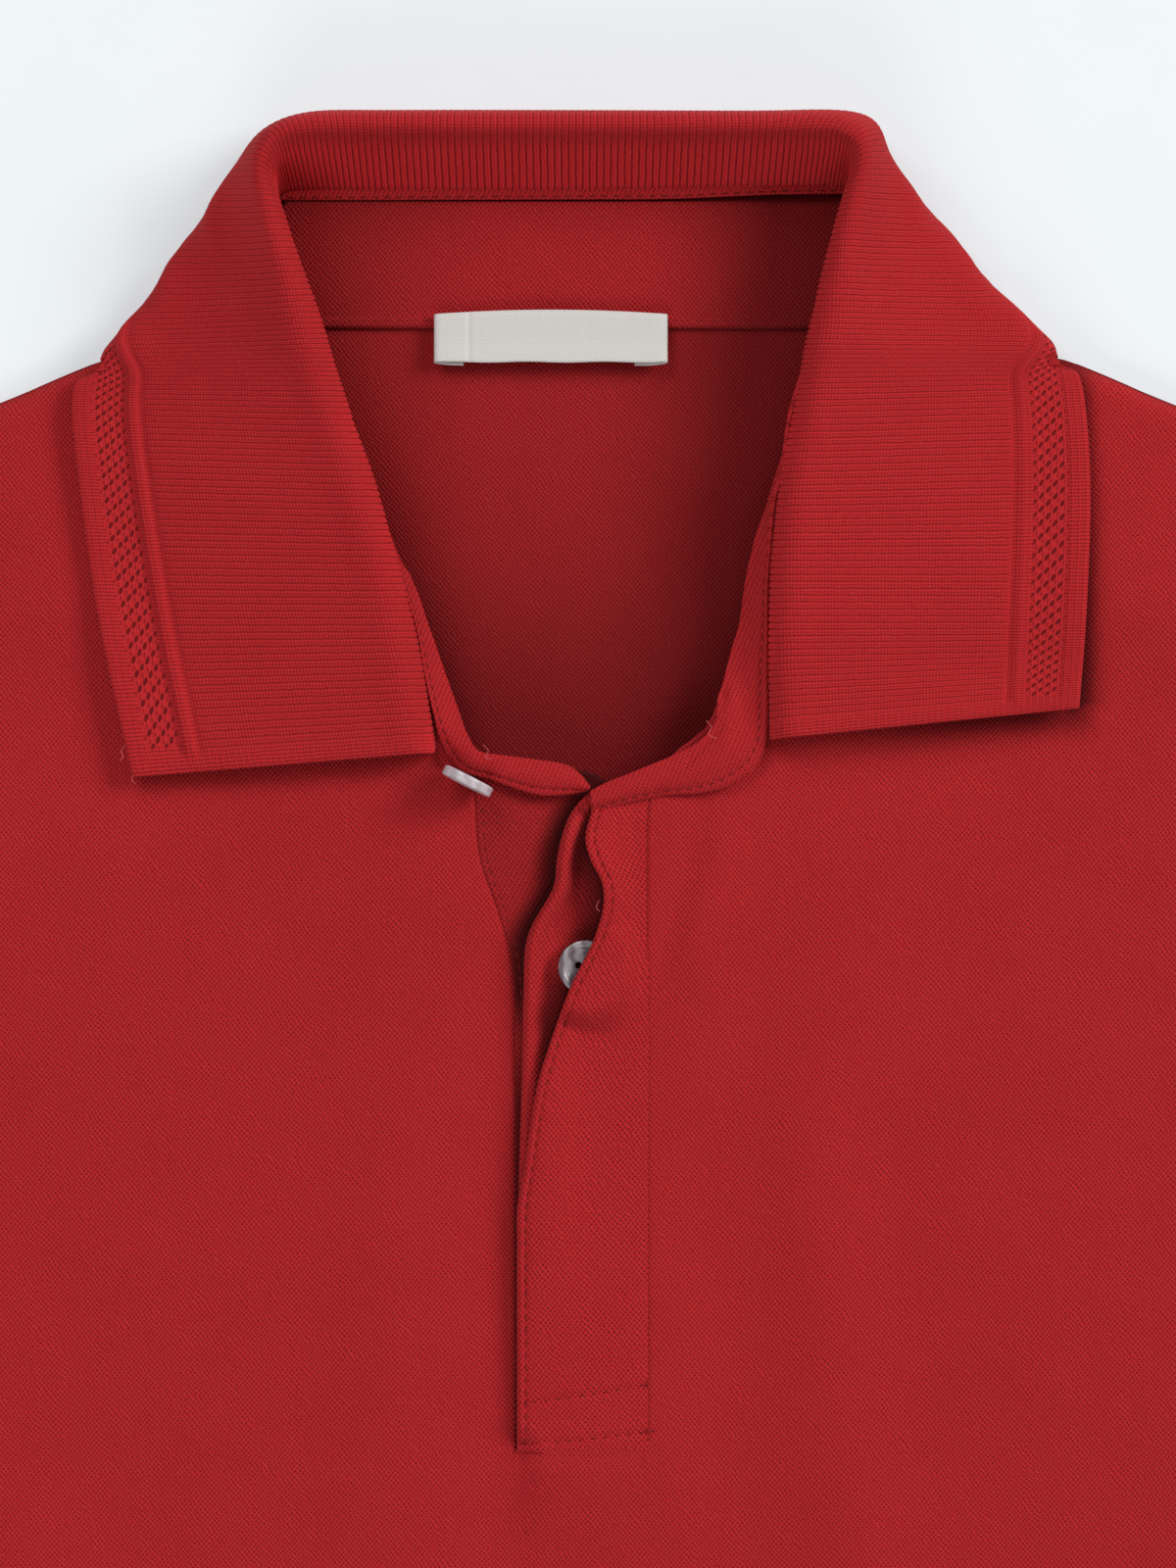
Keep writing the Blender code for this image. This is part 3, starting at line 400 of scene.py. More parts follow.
def rim_quads(quads, shift):
    """Quads that close the edge between a sheet and its copy shift places further on."""
    edges = np.concatenate([quads[:, [k, (k + 1) % 4]] for k in range(4)])
    big = int(edges.max()) + 1
    there, back = edges[:, 0] * big + edges[:, 1], edges[:, 1] * big + edges[:, 0]
    a, b = edges[~np.isin(there, back)].T
    return np.stack([b, a, a + shift, b + shift], -1)


def shell(name, grid, material, thickness, weave=None, painted_shade=None, drop=None, closed=False, crisp=False):
    """A thin cloth shell: the grid is its outer face, and its inner face lies thickness behind it.

    The weave runs with the plan unless given, painted_shade darkens the outer face with painted shade, and dropped
    quads are left out.
    """
    normals = grid_normals(grid, closed)
    quads = grid_quads(*grid.shape[:2], closed)
    if not closed and normals[..., 2].mean() < 0:
        normals = -normals
        quads = quads[..., ::-1]
    if drop is not None:
        quads = quads[~drop]
    quads = quads.reshape(-1, 4)
    inner = grid - normals * thickness
    inner[..., 2] = np.maximum(inner[..., 2], FLOOR_AIR)
    verts = np.concatenate([grid, inner]).reshape(-1, 3)
    count = len(verts) // 2
    faces = np.vstack([quads, quads[:, ::-1] + count, rim_quads(quads, count)])
    used = np.unique(faces)
    renumber = np.zeros(len(verts), int)
    renumber[used] = np.arange(len(used))
    if weave is None:
        weave = grid * (1, 1, 0)
    weave = np.concatenate([weave, weave]).reshape(-1, 3)[used]
    if painted_shade is not None:
        painted_shade = points(np.concatenate([painted_shade, 0 * painted_shade]), 0.0, 0.0).reshape(-1, 3)[used]
    return piece(name, verts[used], renumber[faces], material, weave, painted_shade, (), 2 * len(quads) if crisp else None)


# Materials.

class Value:
    """A number or colour in a material's nodes; + - * add the nodes that work it out."""

    def __init__(self, shader, socket):
        self.shader, self.socket = shader, socket

    def __add__(self, other):
        return self.shader.math("ADD", self, other)

    def __sub__(self, other):
        return self.shader.math("SUBTRACT", self, other)

    def __rsub__(self, other):
        return self.shader.math("SUBTRACT", other, self)

    def __mul__(self, other):
        return self.shader.math("MULTIPLY", self, other)

    def at_least(self, other):
        return self.shader.math("MAXIMUM", self, other)


class Shader:
    """Short hand for a material's nodes."""

    def __init__(self, name, colour, roughness, inputs):
        self.material = bpy.data.materials.new(name)
        self.material.use_nodes = True
        self.nodes = self.material.node_tree.nodes
        self.links = self.material.node_tree.links
        self.shader = self.nodes["Principled BSDF"]
        for key, value in {"Base Color": (*colour, 1.0), "Roughness": roughness, **inputs}.items():
            self.shader.inputs[key].default_value = value

    def node(self, kind, inputs, output, **settings):
        """An output of a new node that has the given settings and inputs."""
        node = self.nodes.new("ShaderNode" + kind)
        for key, value in settings.items():
            setattr(node, key, value)
        for key, value in inputs.items():
            if isinstance(value, Value):
                self.links.new(value.socket, node.inputs[key])
            else:
                node.inputs[key].default_value = value
        return Value(self, node.outputs[output])

    def math(self, operation, *values, clamp=False):
        return self.node("Math", dict(enumerate(values)), 0, operation=operation, use_clamp=clamp)

    def place(self):
        return self.node("TexCoord", {}, "Object")

    def attribute(self, name):
        """A point attribute as a vector, and its three numbers."""
        vector = self.node("Attribute", {}, "Vector", attribute_name=name)
        split = self.node("SeparateXYZ", {0: vector}, 0).socket.node
        return vector, *[Value(self, socket) for socket in split.outputs]

    def noise(self, vector, scale, detail=2.0, roughness=0.5):
        inputs = {"Scale": scale, "Detail": detail, "Roughness": roughness, "Vector": vector}
        return self.node("TexNoise", inputs, "Fac")

    def wave(self, value, period, power=1.0):
        """Between 0 and 1, and 1 where value is a whole number of periods."""
        up = self.math("ABSOLUTE", self.math("COSINE", value * (math.pi / period)))
        return self.math("POWER", up, power) if power != 1.0 else up

    def span(self, value, low, high):
        inputs = {"Value": value, "From Min": low, "From Max": high}
        return self.node("MapRange", inputs, "Result", interpolation_type="SMOOTHSTEP")

    def mix(self, factor, first, second):
        first, second = [c if isinstance(c, Value) else (*c, 1.0) for c in (first, second)]
        return self.node("Mix", {"Factor": factor, 6: first, 7: second}, 2, data_type="RGBA")

    def finish(self, colour, height=None, distance=0.0, strength=0.0):
        """The material, with its colour and its bump linked."""
        self.links.new(colour.socket, self.shader.inputs["Base Color"])
        if height is not None:
            bump = self.node("Bump", {"Distance": distance, "Strength": strength, "Height": height}, "Normal")
            self.links.new(bump.socket, self.shader.inputs["Normal"])
        return self.material


def shade(colour, factor):
    return tuple(c * factor for c in colour)


def cotton(name, dark=0.34, light=(0.56, 0.036, 0.042), tone=1.0):
    """A matt red yarn, with soft fuzz."""
    s = Shader(name, shade(RED, tone), 0.82, {
        "Specular IOR Level": 0.1, "Sheen Weight": 0.07, "Sheen Roughness": 0.55, "Sheen Tint": (1.0, 0.3, 0.3, 1.0),
    })
    # light is a painted highlight for the knit's ridges and dark a painted shade for its holes; both also give the
    # cloth's uneven tone.
    s.base, s.dark, s.light = shade(RED, tone), shade(RED, dark * tone), shade(light, tone)
    return s


def finish_cloth(s, vector, hole, ridge, strength, distance=0.0003, painted_shade=None):
    """Colour, wear and bump from the knit's holes and ridges: painted shade in the holes and a painted highlight on
    the ridges; painted_shade darkens cloth with painted shade under other layers.
    """
    fuzz = s.noise(vector, 3.2, 3.0, 0.7)
    broad = s.noise(vector, 0.045)
    # Painted highlight on the ridges, then painted shade in the holes.
    colour = s.mix(ridge * s.span(fuzz, 0.3, 0.75) * 0.5, s.base, s.light)
    colour = s.mix(hole * 0.8, colour, s.dark)
    tone = (broad - 0.5) * 0.2 + (fuzz - 0.5) * 0.35
    colour = s.mix(tone.at_least(0.0), colour, s.light)
    colour = s.mix((tone * -1.0).at_least(0.0), colour, s.dark)
    # Painted shade: darkens the cloth where other layers and the collar shade it.
    if painted_shade is not None:
        colour = s.mix(painted_shade, colour, PAINTED_SHADE_RED)
    return s.finish(colour, ridge * 0.5 - hole + fuzz * 0.35, distance, strength)


def pique(name, across=1.1, along=1.28, slant=0.0, hole_size=0.25, dark=0.4, strength=0.75, tone=1.0):
    """Staggered small holes between wavy ridges."""
    s = cotton(name, dark, tone=tone)
    vector, x, y, _ = s.attribute("weave")
    _, painted_shade, _, _ = s.attribute("zone")
    shift = s.noise(vector, 0.12) * 1.6 + s.noise(vector, 0.9, 1.0) * 0.5
    lattice = s.math("COSINE", (x + y * slant + shift) * (2 * math.pi / across))
    lattice = lattice * s.math("COSINE", (y + shift) * (2 * math.pi / along))
    return finish_cloth(s, vector, s.span(lattice, hole_size, 0.95), s.span(lattice, 0.2, -0.8), strength, painted_shade=painted_shade)


def rib_knit(name):
    """The collar's flat knit: x runs along the strip, y is the distance from its edge; zones blend knits, and the
    stand zone also gets painted light that makes the collar's inner wall lighter.
    """
    s = cotton(name, 0.36, (0.60, 0.042, 0.048))
    vector, x, y, _ = s.attribute("weave")
    _, rib, eyelet, stand = s.attribute("zone")
    uneven = s.noise(vector, 0.35)
    u = x + (uneven - 0.5) * 0.55
    v = y + uneven * 0.5
    loops = s.wave(v, LOOP_PITCH, 2.0)
    grooves = s.wave(u, RIB_PITCH, 12.0) * (s.noise(vector, 0.8, 1.0) * 0.55 + 0.42 + stand * 0.5)
    dots = s.wave(u + RIB_PITCH / 2, RIB_PITCH, 12.0) * (loops * 0.75 + 0.25)
    fine = s.wave(u, 0.85, 5.0) * (s.wave(v, 1.7) * 0.35 + 0.4)
    slope = u - v * 0.862
    large = s.wave(slope, EYELET_PITCH, 6.0) * s.wave(v, RIB_PITCH, 1.6)
    small = s.wave(slope + EYELET_PITCH / 2, EYELET_PITCH, 7.0) * s.wave(v + 0.6, RIB_PITCH, 2.5)
    eyes = (s.span(large, 0.12, 0.65) * 1.5).at_least(s.wave(slope, EYELET_PITCH, 5.0) * 0.35)
    hole = grooves.at_least(dots * 0.7) * rib + eyes.at_least(small * 0.6) * eyelet
    hole = hole + fine * s.math("SUBTRACT", 1.0, rib + eyelet, clamp=True)
    # Painted light: the stand, which gets little light, is painted lighter, and so are its holes.
    s.base = s.mix(stand, shade(RED, 1.12), shade(RED, 1.74))
    s.dark = s.mix(stand, s.dark, shade(s.dark, 1.9))
    return finish_cloth(s, vector, hole, (1.0 - loops) * 0.7, 0.85, 0.00035)


def thread(name, colour):
    s = Shader(name, colour, 0.75, {"Specular IOR Level": 0.15, "Sheen Weight": 0.05})
    twist = s.noise(s.place(), 3000.0, 1.0)
    tone = s.span(twist, 0.3, 0.7)
    return s.finish(s.mix(tone, shade(colour, 0.75), shade(colour, 1.2)), twist, 0.0001, 0.5)


def woven(name):
    """A label's smooth satin weave, with a fine grain."""
    s = Shader(name, LABEL_WHITE, 0.62, {"Specular IOR Level": 0.3, "Sheen Weight": 0.15})
    vector, x, y, _ = s.attribute("weave")
    cross = s.wave(x, 0.24, 2.0) + s.wave(y, 0.32, 2.0)
    speck = s.noise(vector, 2.2, 3.0, 0.6)
    tone = s.span((cross * 0.2 + speck) * 0.5, 0.15, 0.6)
    colour = s.mix(tone, shade(LABEL_WHITE, 0.90), shade(LABEL_WHITE, 1.06))
    return s.finish(colour, cross + speck, 0.0001, 0.35)


def pearl(name, low, high):
    """Grey shell plastic with cloudy bands."""
    s = Shader(name, high, 0.32, {"Coat Weight": 0.3, "Coat Roughness": 0.08, "Subsurface Weight": 0.1})
    cloud = s.noise(s.place(), 220.0, 3.0, 0.6)
    bands = s.node("TexWave", {"Scale": 90.0, "Distortion": 9.0, "Detail": 3.0, "Vector": s.place()}, "Fac")
    return s.finish(s.mix(s.span(cloud * 0.6 + bands * 0.4, 0.3, 0.72), low, high), cloud, 0.0002, 0.12)


PIQUE_KNIT = pique("pique_knit_red")
# The back's inside is a darker copy of the piqué: its tone 0.80 is painted shade for the neck opening.
PIQUE_INSIDE_SHADED = pique("pique_inside_shaded_red", 1.06, 1.2, 0.0, 0.25, 0.36, 0.7, 0.80)
# The yoke is a darker copy of the piqué: its tone 0.88 is painted shade under the collar.
PIQUE_YOKE_SHADED = pique("pique_yoke_shaded_red", tone=0.88)
PIQUE_PLACKET = pique("pique_placket_red", 1.18, 1.36, 0.04, 0.2, 0.38, 0.85, 1.06)
PIQUE_TAPE = pique("pique_bias_red", 1.06, 1.2, 0.45, 0.25)
RIB_KNIT = rib_knit("rib_knit_red")
THREAD = thread("red_thread", (0.17, 0.005, 0.007))
THREAD_END = thread("loose_thread", (0.55, 0.10, 0.11))
WOVEN = woven("label_satin")
# The mid button's pearl is a darker copy of the top button's: painted shade for its place in the placket's gap.
PEARL_SHADED = pearl("pearl_grey_shaded", (0.13, 0.095, 0.105), (0.31, 0.265, 0.28))
PEARL_EDGE = pearl("pearl_pale", (0.42, 0.36, 0.385), (0.53, 0.465, 0.495))


# Body.

def side_points(side, rows):
    """The side seam from the hem to the underarm, and the armhole above it."""
    low = np.clip(rows * 2, 0.0, 1.0)
    seam = points(HEM_HALF + (CHEST_HALF - HEM_HALF) * low, HEM_Y + (UNDERARM_Y - HEM_Y) * low)
    armhole = spline(ARMHOLE, np.clip((rows - 0.5) * 2, 0.0, 1.0))
    return np.where(rows[:, None] < 0.5, seam, armhole) * (side, 1)


def half_plan(side, inner, top, rows, across):
    """Plan points of one half of a panel, between its inner line, hem, side and top."""
    start = inner[0, 0]
    bottom = points(start + (side * HEM_HALF - start) * across, HEM_Y)
    top = spline(top, across)
    outer = side_points(side, rows)
    v = rows[:, None, None]
    u = across[None, :, None]
    ruled = (1 - v) * bottom[None] + v * top[None] + (1 - u) * inner[:, None] + u * outer[:, None]
    first = (1 - v) * bottom[0] + v * top[0]
    last = (1 - v) * bottom[-1] + v * top[-1]
    return ruled - (1 - u) * first - u * last


def hem_step(y):
    """The turned hem is a double layer with a soft edge."""
    return 0.7 * (1.0 - smooth(y, HEM_Y + 19.5, HEM_Y + 21.5))


def back_cloth():
    rows = np.concatenate([np.linspace(0.0, 0.5, 60)[:-1], np.linspace(0.5, 1.0, 80)])
    across = np.linspace(0.0, 1.0, 66)
    halves = {}
    for side in (-1, 1):
        inner = points(0.0, HEM_Y + (BACK_TOP - HEM_Y) * rows)
        top = [(0, BACK_TOP), (side * 40, BACK_TOP), (side * 62, 0.6)]
        top += [(side * x, y + 0.9) for x, y in SHOULDER_SEEN]
        halves[side] = half_plan(side, inner, top, rows, across)
    x, y = np.concatenate([halves[-1][:, :0:-1], halves[1]], axis=1).transpose(2, 0, 1)
    # Painted shade inside the neck opening: most beside the right leaf of the collar, less beside the left, and more
    # towards the low end of the opening.
    beside = smooth(x, -5.0, 42.0)
    painted_shade = 0.52 * beside + 0.22 * smooth(-x, 18.0, 45.0) + 0.5 * smooth(-y, 60.0, 125.0) * (1.0 - 0.6 * beside)
    painted_shade = np.minimum(painted_shade, 0.7) * (y > -150.0)
    made = shell("back_cloth", points(x, y, back_top(x, y)), PIQUE_INSIDE_SHADED, 1.15, painted_shade=painted_shade)
    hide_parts("back_panel")


def front_cloth():
    low_rows = np.linspace(0.0, 0.5, 70)[:-1]
    high_rows = np.linspace(0.5, 1.0, 118)
    rows = np.concatenate([low_rows, high_rows])
    across = np.linspace(0.0, 1.0, 88) ** 1.15
    halves = {}
    for side, table in ((-1, FRONT_EDGE_LEFT), (1, FRONT_EDGE_RIGHT)):
        heights = np.linspace(table[0][0], table[-1][0], len(high_rows))
        inner_low = points(side * table[0][1], HEM_Y + (SLOT_END - HEM_Y) * low_rows * 2)
        inner = np.vstack([inner_low, points(side * column(table, heights), heights)])
        top = [tuple(inner[-1])] + [(side * x, y) for x, y in SHOULDER_SEEN[1:]]
        halves[side] = half_plan(side, inner, top, rows, across)
    steps = np.linspace(0.0, 1.0, 14)[1:-1, None]
    middle = halves[-1][:, None, 0] * (1 - steps) + halves[1][:, None, 0] * steps
    x, y = np.concatenate([halves[-1][:, ::-1], middle, halves[1]], axis=1).transpose(2, 0, 1)
    drop = np.zeros((x.shape[0] - 1, x.shape[1] - 1), bool)
    drop[len(low_rows):, len(across) - 1:-(len(across) - 1)] = True

    z = front_top(x, y) + cloth_lift(x, y) + hem_step(y)
    to_top = column(SHOULDER_SEEN, np.abs(x)) - y
    z -= 1.9 * (1.0 - smooth(to_top, -0.5, 4.5)) ** 1.5 * smooth(np.abs(x), 110.0, 118.0)
    beside_slot = smooth(y, SLOT_END - 2.0, SLOT_END) * (y < NECK_LOW)
    left_seam = np.abs(x + column(FRONT_EDGE_LEFT, y))
    z -= 0.35 * (1.0 - smooth(left_seam, 0.0, 0.8)) * beside_slot * (x < 0)
    right_seam = np.abs(x - SLOT_RIGHT)
    z -= 0.09 * smooth(-y, 165.0, 185.0) * (1.0 - smooth(right_seam, 0.0, 0.8)) * beside_slot * (x > 0)
    z += pinch(x, y)

    # Shade below and beside the right leaf of the collar, whose lower edge slopes from its inner corner.
    below = np.maximum(-127.2 + 7.2 * (x - 43.0) / 71.6 - y, 0.0)
    beyond = np.maximum(x - 116.5, 0.0)
    painted_shade = 0.65 * bell(below, 0.0, 4.5) * smooth(x, 52.0, 92.0) * (1.0 - smooth(x, 114.0, 120.0))
    painted_shade += 0.39 * bell(beyond, 0.0, 4.0) * smooth(-y, 55.0, 95.0) * (below <= 0.0) * (x > 114.0)
    made = shell("front_cloth", points(x, y, z), PIQUE_KNIT, 1.0, painted_shade=painted_shade, drop=drop, crisp=True)
    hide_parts("front_panel")


def sleeve_cloth(name, node, side):
    """A flat tube from the armhole to the hem, with creases that run from the underarm."""
    along = np.array([math.cos(SLEEVE_DROOP), -math.sin(SLEEVE_DROOP)])
    down = np.array([along[1], -along[0]])
    t = np.linspace(0.0, 1.0, 44)
    armhole = spline(ARMHOLE, t)[::-1]
    tangent = np.gradient(armhole, axis=0)
    tangent /= np.linalg.norm(tangent, axis=1, keepdims=True)
    start = armhole + points(-tangent[:, 1], tangent[:, 0]) * 0.4
    start += smooth(t, 0.8, 1.0)[:, None] * (1.3, 0.6)
    cuff = armhole[0] + along * SLEEVE_LENGTH + down * SLEEVE_OPENING * t[:, None]
    radius = SLEEVE_LAYER / 2
    bend = np.linspace(0, math.pi, 7)[1:-1]
    rings, weaves = [], []
    for share in np.linspace(0.0, 1.0, 74):
        line = start * (1 - share) + cuff * share
        first = (line[1] - line[0]) / np.linalg.norm(line[1] - line[0])
        last = (line[-2] - line[-1]) / np.linalg.norm(line[-2] - line[-1])
        line[0] += first * radius
        line[-1] += last * radius
        room = smooth(t, 0.0, 0.12) * (1 - smooth(t, 0.88, 1.0)) * smooth(share, 0.02, 0.2)
        crease = 1.9 * bell(t, 0.75 - 0.35 * share, 0.07) * (1 - 0.6 * share)
        crease += 1.4 * bell(t, 0.42 - 0.1 * share, 0.09) * smooth(share, 0.1, 0.5)
        cuff_step = 0.6 * smooth(share, 0.905, 0.915)
        lift = room * (0.5 + crease + 0.5 * np.sin(9 * t + 4 * share + side) + cuff_step)
        top = np.column_stack([line, BACK_MID + SLEEVE_LAYER + PIQUE / 2 + lift])
        low = points(line[:, 0], line[:, 1], FLOOR_AIR)
        ends = []
        for k, inward, way in ((-1, last, 1), (0, first, -1)):
            plan = line[k] - inward * (PIQUE / 2 + radius) * np.sin(bend)[:, None]
            middle, half = (top[k, 2] + low[k, 2]) / 2, (top[k, 2] - low[k, 2]) / 2
            ends.append(np.column_stack([plan, middle + way * half * np.cos(bend)]))
        ring = np.vstack([top, ends[0], low[::-1], ends[1]])
        rings.append(ring)
        weaves.append(points(far_along(ring), -share * SLEEVE_LENGTH, 0.0))
    grid, weave = np.array(rings) * (side, 1, 1), np.array(weaves)
    if grid_normals(grid, True)[10, 10, 2] < 0:
        grid, weave = grid[:, ::-1], weave[:, ::-1]
    made = shell(name, grid, PIQUE_KNIT, 1.0, weave, closed=True)
    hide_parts(node)


# Collar.

def seam_height(x, y):
    on_front = front_top(x, np.minimum(y, NECK_TOP)) + TRIM + 4 * GAP + RIB / 2
    on_back = back_top(x, y) + GAP + RIB / 2
    back = smooth(y, -10.0, 1.0)
    return (1 - back) * on_front + back * on_back


def collar_section(row, shares):
    """The line of one station from the seam over the roll to the edge."""
    s = dict(zip(COLLAR_COLUMNS, row))
    fold, seam, out, edge = [Vector((s[key + "_x"], s[key + "_y"])) for key in ("fold", "seam", "out", "edge")]
    top, turn, lean = s["fold_z"], s["turn"], s["lean"]
    apex = fold + (out - fold).normalized() * ROLL * lean
    foot_z = float(seam_height(seam.x, seam.y))
    mid = seam.lerp(apex, 0.55).lerp(fold, lean)
    mid_z = (foot_z + 0.58 * (top - foot_z)) * (1 - lean) + (top - ROLL) * lean
    line = [(*seam, foot_z), (*mid, mid_z), (*apex, top)]
    if turn == 0:
        for share in (0.12, 0.3, 0.55, 0.8, 1.0):
            at = apex.lerp(out, share)
            floor = float(front_top(at.x, at.y)) + GAP + RIB / 2 + 0.8
            line.append((*at, floor + (top - floor) * (1 - share) ** 1.7))
        return spline(line, shares)
    for share in (0.3, 0.65):
        if (out - apex).length > 12.0:
            line.append((*apex.lerp(out, share), turn + (top - turn) * (1 - share) ** 1.5))
    line.append((*out, turn))
    rest = RIB / 2
    under = (edge - out).normalized()
    line.append((*(out + under * 0.3), rest + 0.45 * (turn - rest)))
    line.append((*(out + under * 1.6), rest + min(1.2, 0.2 * turn)))
    if (edge - out).length > 5.0:
        line.append((*out.lerp(edge, 0.3), rest))
    line.append((*edge, rest))
    return spline(line, shares)


def evened(rings, sigma):
    """Rings evened out along the strip, with both ends kept."""
    reach = int(3 * sigma)
    weights = np.exp(-0.5 * (np.arange(-reach, reach + 1) / sigma) ** 2)
    weights /= weights.sum()
    before = 2 * rings[:1] - rings[reach:0:-1]
    after = 2 * rings[-1:] - rings[-2:-reach - 2:-1]
    padded = np.concatenate([before, rings, after])
    return sum(w * padded[k:k + len(rings)] for k, w in enumerate(weights))


def collar_middle(depth):
    """The middle of the collar's wall, a ring for each sample along it, and how far along each ring is."""
    sections = np.array([collar_section(row, 1.0 - depth / COLLAR_DEPTH) for row in COLLAR_STATIONS])
    folds = np.array([row[:2] for row in COLLAR_STATIONS])
    place = np.concatenate([[0.0], np.cumsum(np.linalg.norm(np.diff(folds, axis=0), axis=1) + 3.0)])
    even = np.linspace(0.0, place[-1], int(place[-1] / RIB_PITCH) * RIB_SAMPLES + 1)
    i = interval(place, even)
    before, after = np.maximum(i - 1, 0), np.minimum(i + 2, len(place) - 1)
    h = (place[i + 1] - place[i])[:, None, None]
    leave = (sections[i + 1] - sections[before]) / (place[i + 1] - place[before])[:, None, None] * h
    arrive = (sections[after] - sections[i]) / (place[after] - place[i])[:, None, None] * h
    mid = hermite((even - place[i])[:, None, None] / h, sections[i], sections[i + 1], leave, arrive)
    back = smooth(mid[:, 30, 1], 2.0, 10.0)[:, None, None]
    step = RIB_PITCH / RIB_SAMPLES
    mid = (1 - back) * evened(mid, 5.5 / step) + back * evened(mid, 2.0 / step)

    end = np.minimum(even, even[-1] - even)[:, None]
    laid = smooth(mid[..., 1], -30.0, -60.0) * (1.0 - smooth(depth, 30.0, 60.0))
    off = np.where(mid[..., 0] > 0, 1.9, 1.0)
    mid[..., 2] += off * (1.3 * (1.0 - smooth(end, 0.0, 22.0)) + 0.7 * (1.0 - smooth(depth, 0.0, 14.0))) * laid
    x, y, z = mid[..., 0], mid[..., 1], mid[..., 2]
    line = np.where(np.abs(x) > 98.0, column(SHOULDER_SEEN, np.abs(x)) - 2.0, shoulder_y(x))
    lifted = np.maximum(z, front_top(x, y) + GAP + RIB / 2 + 0.35)
    flat = np.where(y < shoulder_y(x) + 1.5, RIB / 2, np.maximum(z, RIB / 2))
    over = (y < line + 3.0) & (z > TUCK_LIFT)
    mid[..., 2] = np.where(over, lifted, np.where(z < TUCK_LIFT, flat, z))
    return mid, even, end


def collar_cloth():
    """A closed wall: fine and ribbed outside, and coarser inside, with a column for each sample of its depth."""
    depth = np.concatenate([np.linspace(0.0, 20.5, 42), np.linspace(20.5, COLLAR_DEPTH, 29)[1:]])[::-1]
    mid, even, end = collar_middle(depth)
    normals = grid_normals(mid)
    if normals[5 * RIB_SAMPLES, -8, 2] < 0:
        normals = -normals
    for _ in range(10):
        normals[:, 1:-1] = (normals[:, :-2] + 2 * normals[:, 1:-1] + normals[:, 2:]) / 4
        normals[1:-1] = (normals[:-2] + 2 * normals[1:-1] + normals[2:]) / 4
    normals /= np.linalg.norm(normals, axis=2, keepdims=True)

    rib_zone = smooth(depth, 18.2, 20.2) * smooth(end, 3.2, 6.0)
    eyelet_zone = smooth(depth, 4.9, 6.0) * (1 - smooth(depth, 13.2, 14.2)) * smooth(end, 5.2, 6.6)
    relief = np.interp(depth, *zip(*COLLAR_RELIEF))
    relief = np.where(depth > 1.5, relief * smooth(end, 2.0, 6.0), relief)
    shown = smooth(normals[..., 2], 0.0, 0.85)
    crest = evened(depth[np.argmax(mid[..., 2], axis=1)][:, None], 8.0)
    turned = smooth(depth, crest + 3.0, crest + 9.0)
    bent = smooth(depth, crest - 20.0, crest)
    ribs = 0.05 - 0.17 * np.abs(np.cos(math.pi * even / RIB_PITCH))[:, None] ** 5
    height = relief * shown + ribs * rib_zone * np.maximum(shown, bent) * (1.0 + 0.5 * bent + 0.5 * turned)
    height = height - 0.35 * (1 - smooth(end, 0.0, 1.0))
    outer = mid + normals * (RIB / 2 + height[..., None])
    inner = mid - normals * RIB / 2
    outer[..., 2] = np.maximum(outer[..., 2], 0.05)
    inner[..., 2] = np.maximum(inner[..., 2], 0.0)
    weave = points(even[:, None], depth, 0.0)
    # turned marks the stand, which the rib knit paints lighter as painted light.
    zone = points(rib_zone, eyelet_zone, turned)

    rows, columns = mid.shape[:2]
    count = rows * columns
    quads = grid_quads(rows, columns).reshape(-1, 4)
    facing = np.cross(outer[60, 51] - outer[60, 50], outer[61, 50] - outer[60, 50]) @ normals[60, 50]
    way = -1 if facing < 0 else 1
    rows_in = np.unique(np.append(np.arange(0, rows, RIB_SAMPLES), rows - 1))
    columns_in = np.unique(np.append(np.arange(0, columns, 2), columns - 1))
    kept = np.zeros((rows, columns), bool)
    kept[np.ix_(rows_in, columns_in)] = True
    kept[[0, -1]] = True
    kept[:, [0, -1]] = True
    behind = np.full((rows, columns), -1)
    behind[kept] = count + np.arange(kept.sum())
    border, border_in = [
        np.concatenate([index[0], index[1:, -1], index[-1, -2::-1], index[-2:0:-1, 0]])
        for index in (np.arange(count).reshape(rows, columns), behind)
    ]
    rim = points(np.roll(border, -1), border, border_in, np.roll(border_in, -1))
    inside = []
    for r0, r1 in zip(rows_in[:-1], rows_in[1:]):
        for c0, c1 in zip(columns_in[:-1], columns_in[1:]):
            ring = np.concatenate([
                behind[r0, c0:c1], behind[r0:r1, c1], behind[r1, c1:c0:-1], behind[r1:r0:-1, c0],
            ])
            inside.append(ring[ring >= 0][::-way].tolist())
    verts, weave, zone = [
        np.vstack([front.reshape(-1, 3), rear[kept]])
        for front, rear in ((outer, inner), (weave, weave), (zone, zone))
    ]
    faces = np.vstack([quads[:, ::way], rim[:, ::way]])
    made = piece("collar_cloth", verts, faces, RIB_KNIT, weave, zone, inside)
    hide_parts("collar")


# Trims at the neck.

FOLD_RIGHT = [row[1:3] for row in COLLAR_STATIONS[:-8:-1]]
FOLD_LEFT = [row[1:3] for row in COLLAR_STATIONS[:7]]


def strip(name, pairs, count, across, height, thickness=0.9):
    """A band of tape between two edges that are given in pairs of plan points."""
    shares = np.linspace(0.0, 1.0, count)
    line = spline(pairs, shares)[:, None]
    u = np.linspace(0.0, 1.0, across)
    x, y = (line[..., :2] * (1 - u[:, None]) + line[..., 2:] * u[:, None]).transpose(2, 0, 1)
    grid = points(x, y, height(x, y, shares[:, None], u))
    return shell(name, grid, PIQUE_TAPE, thickness), grid


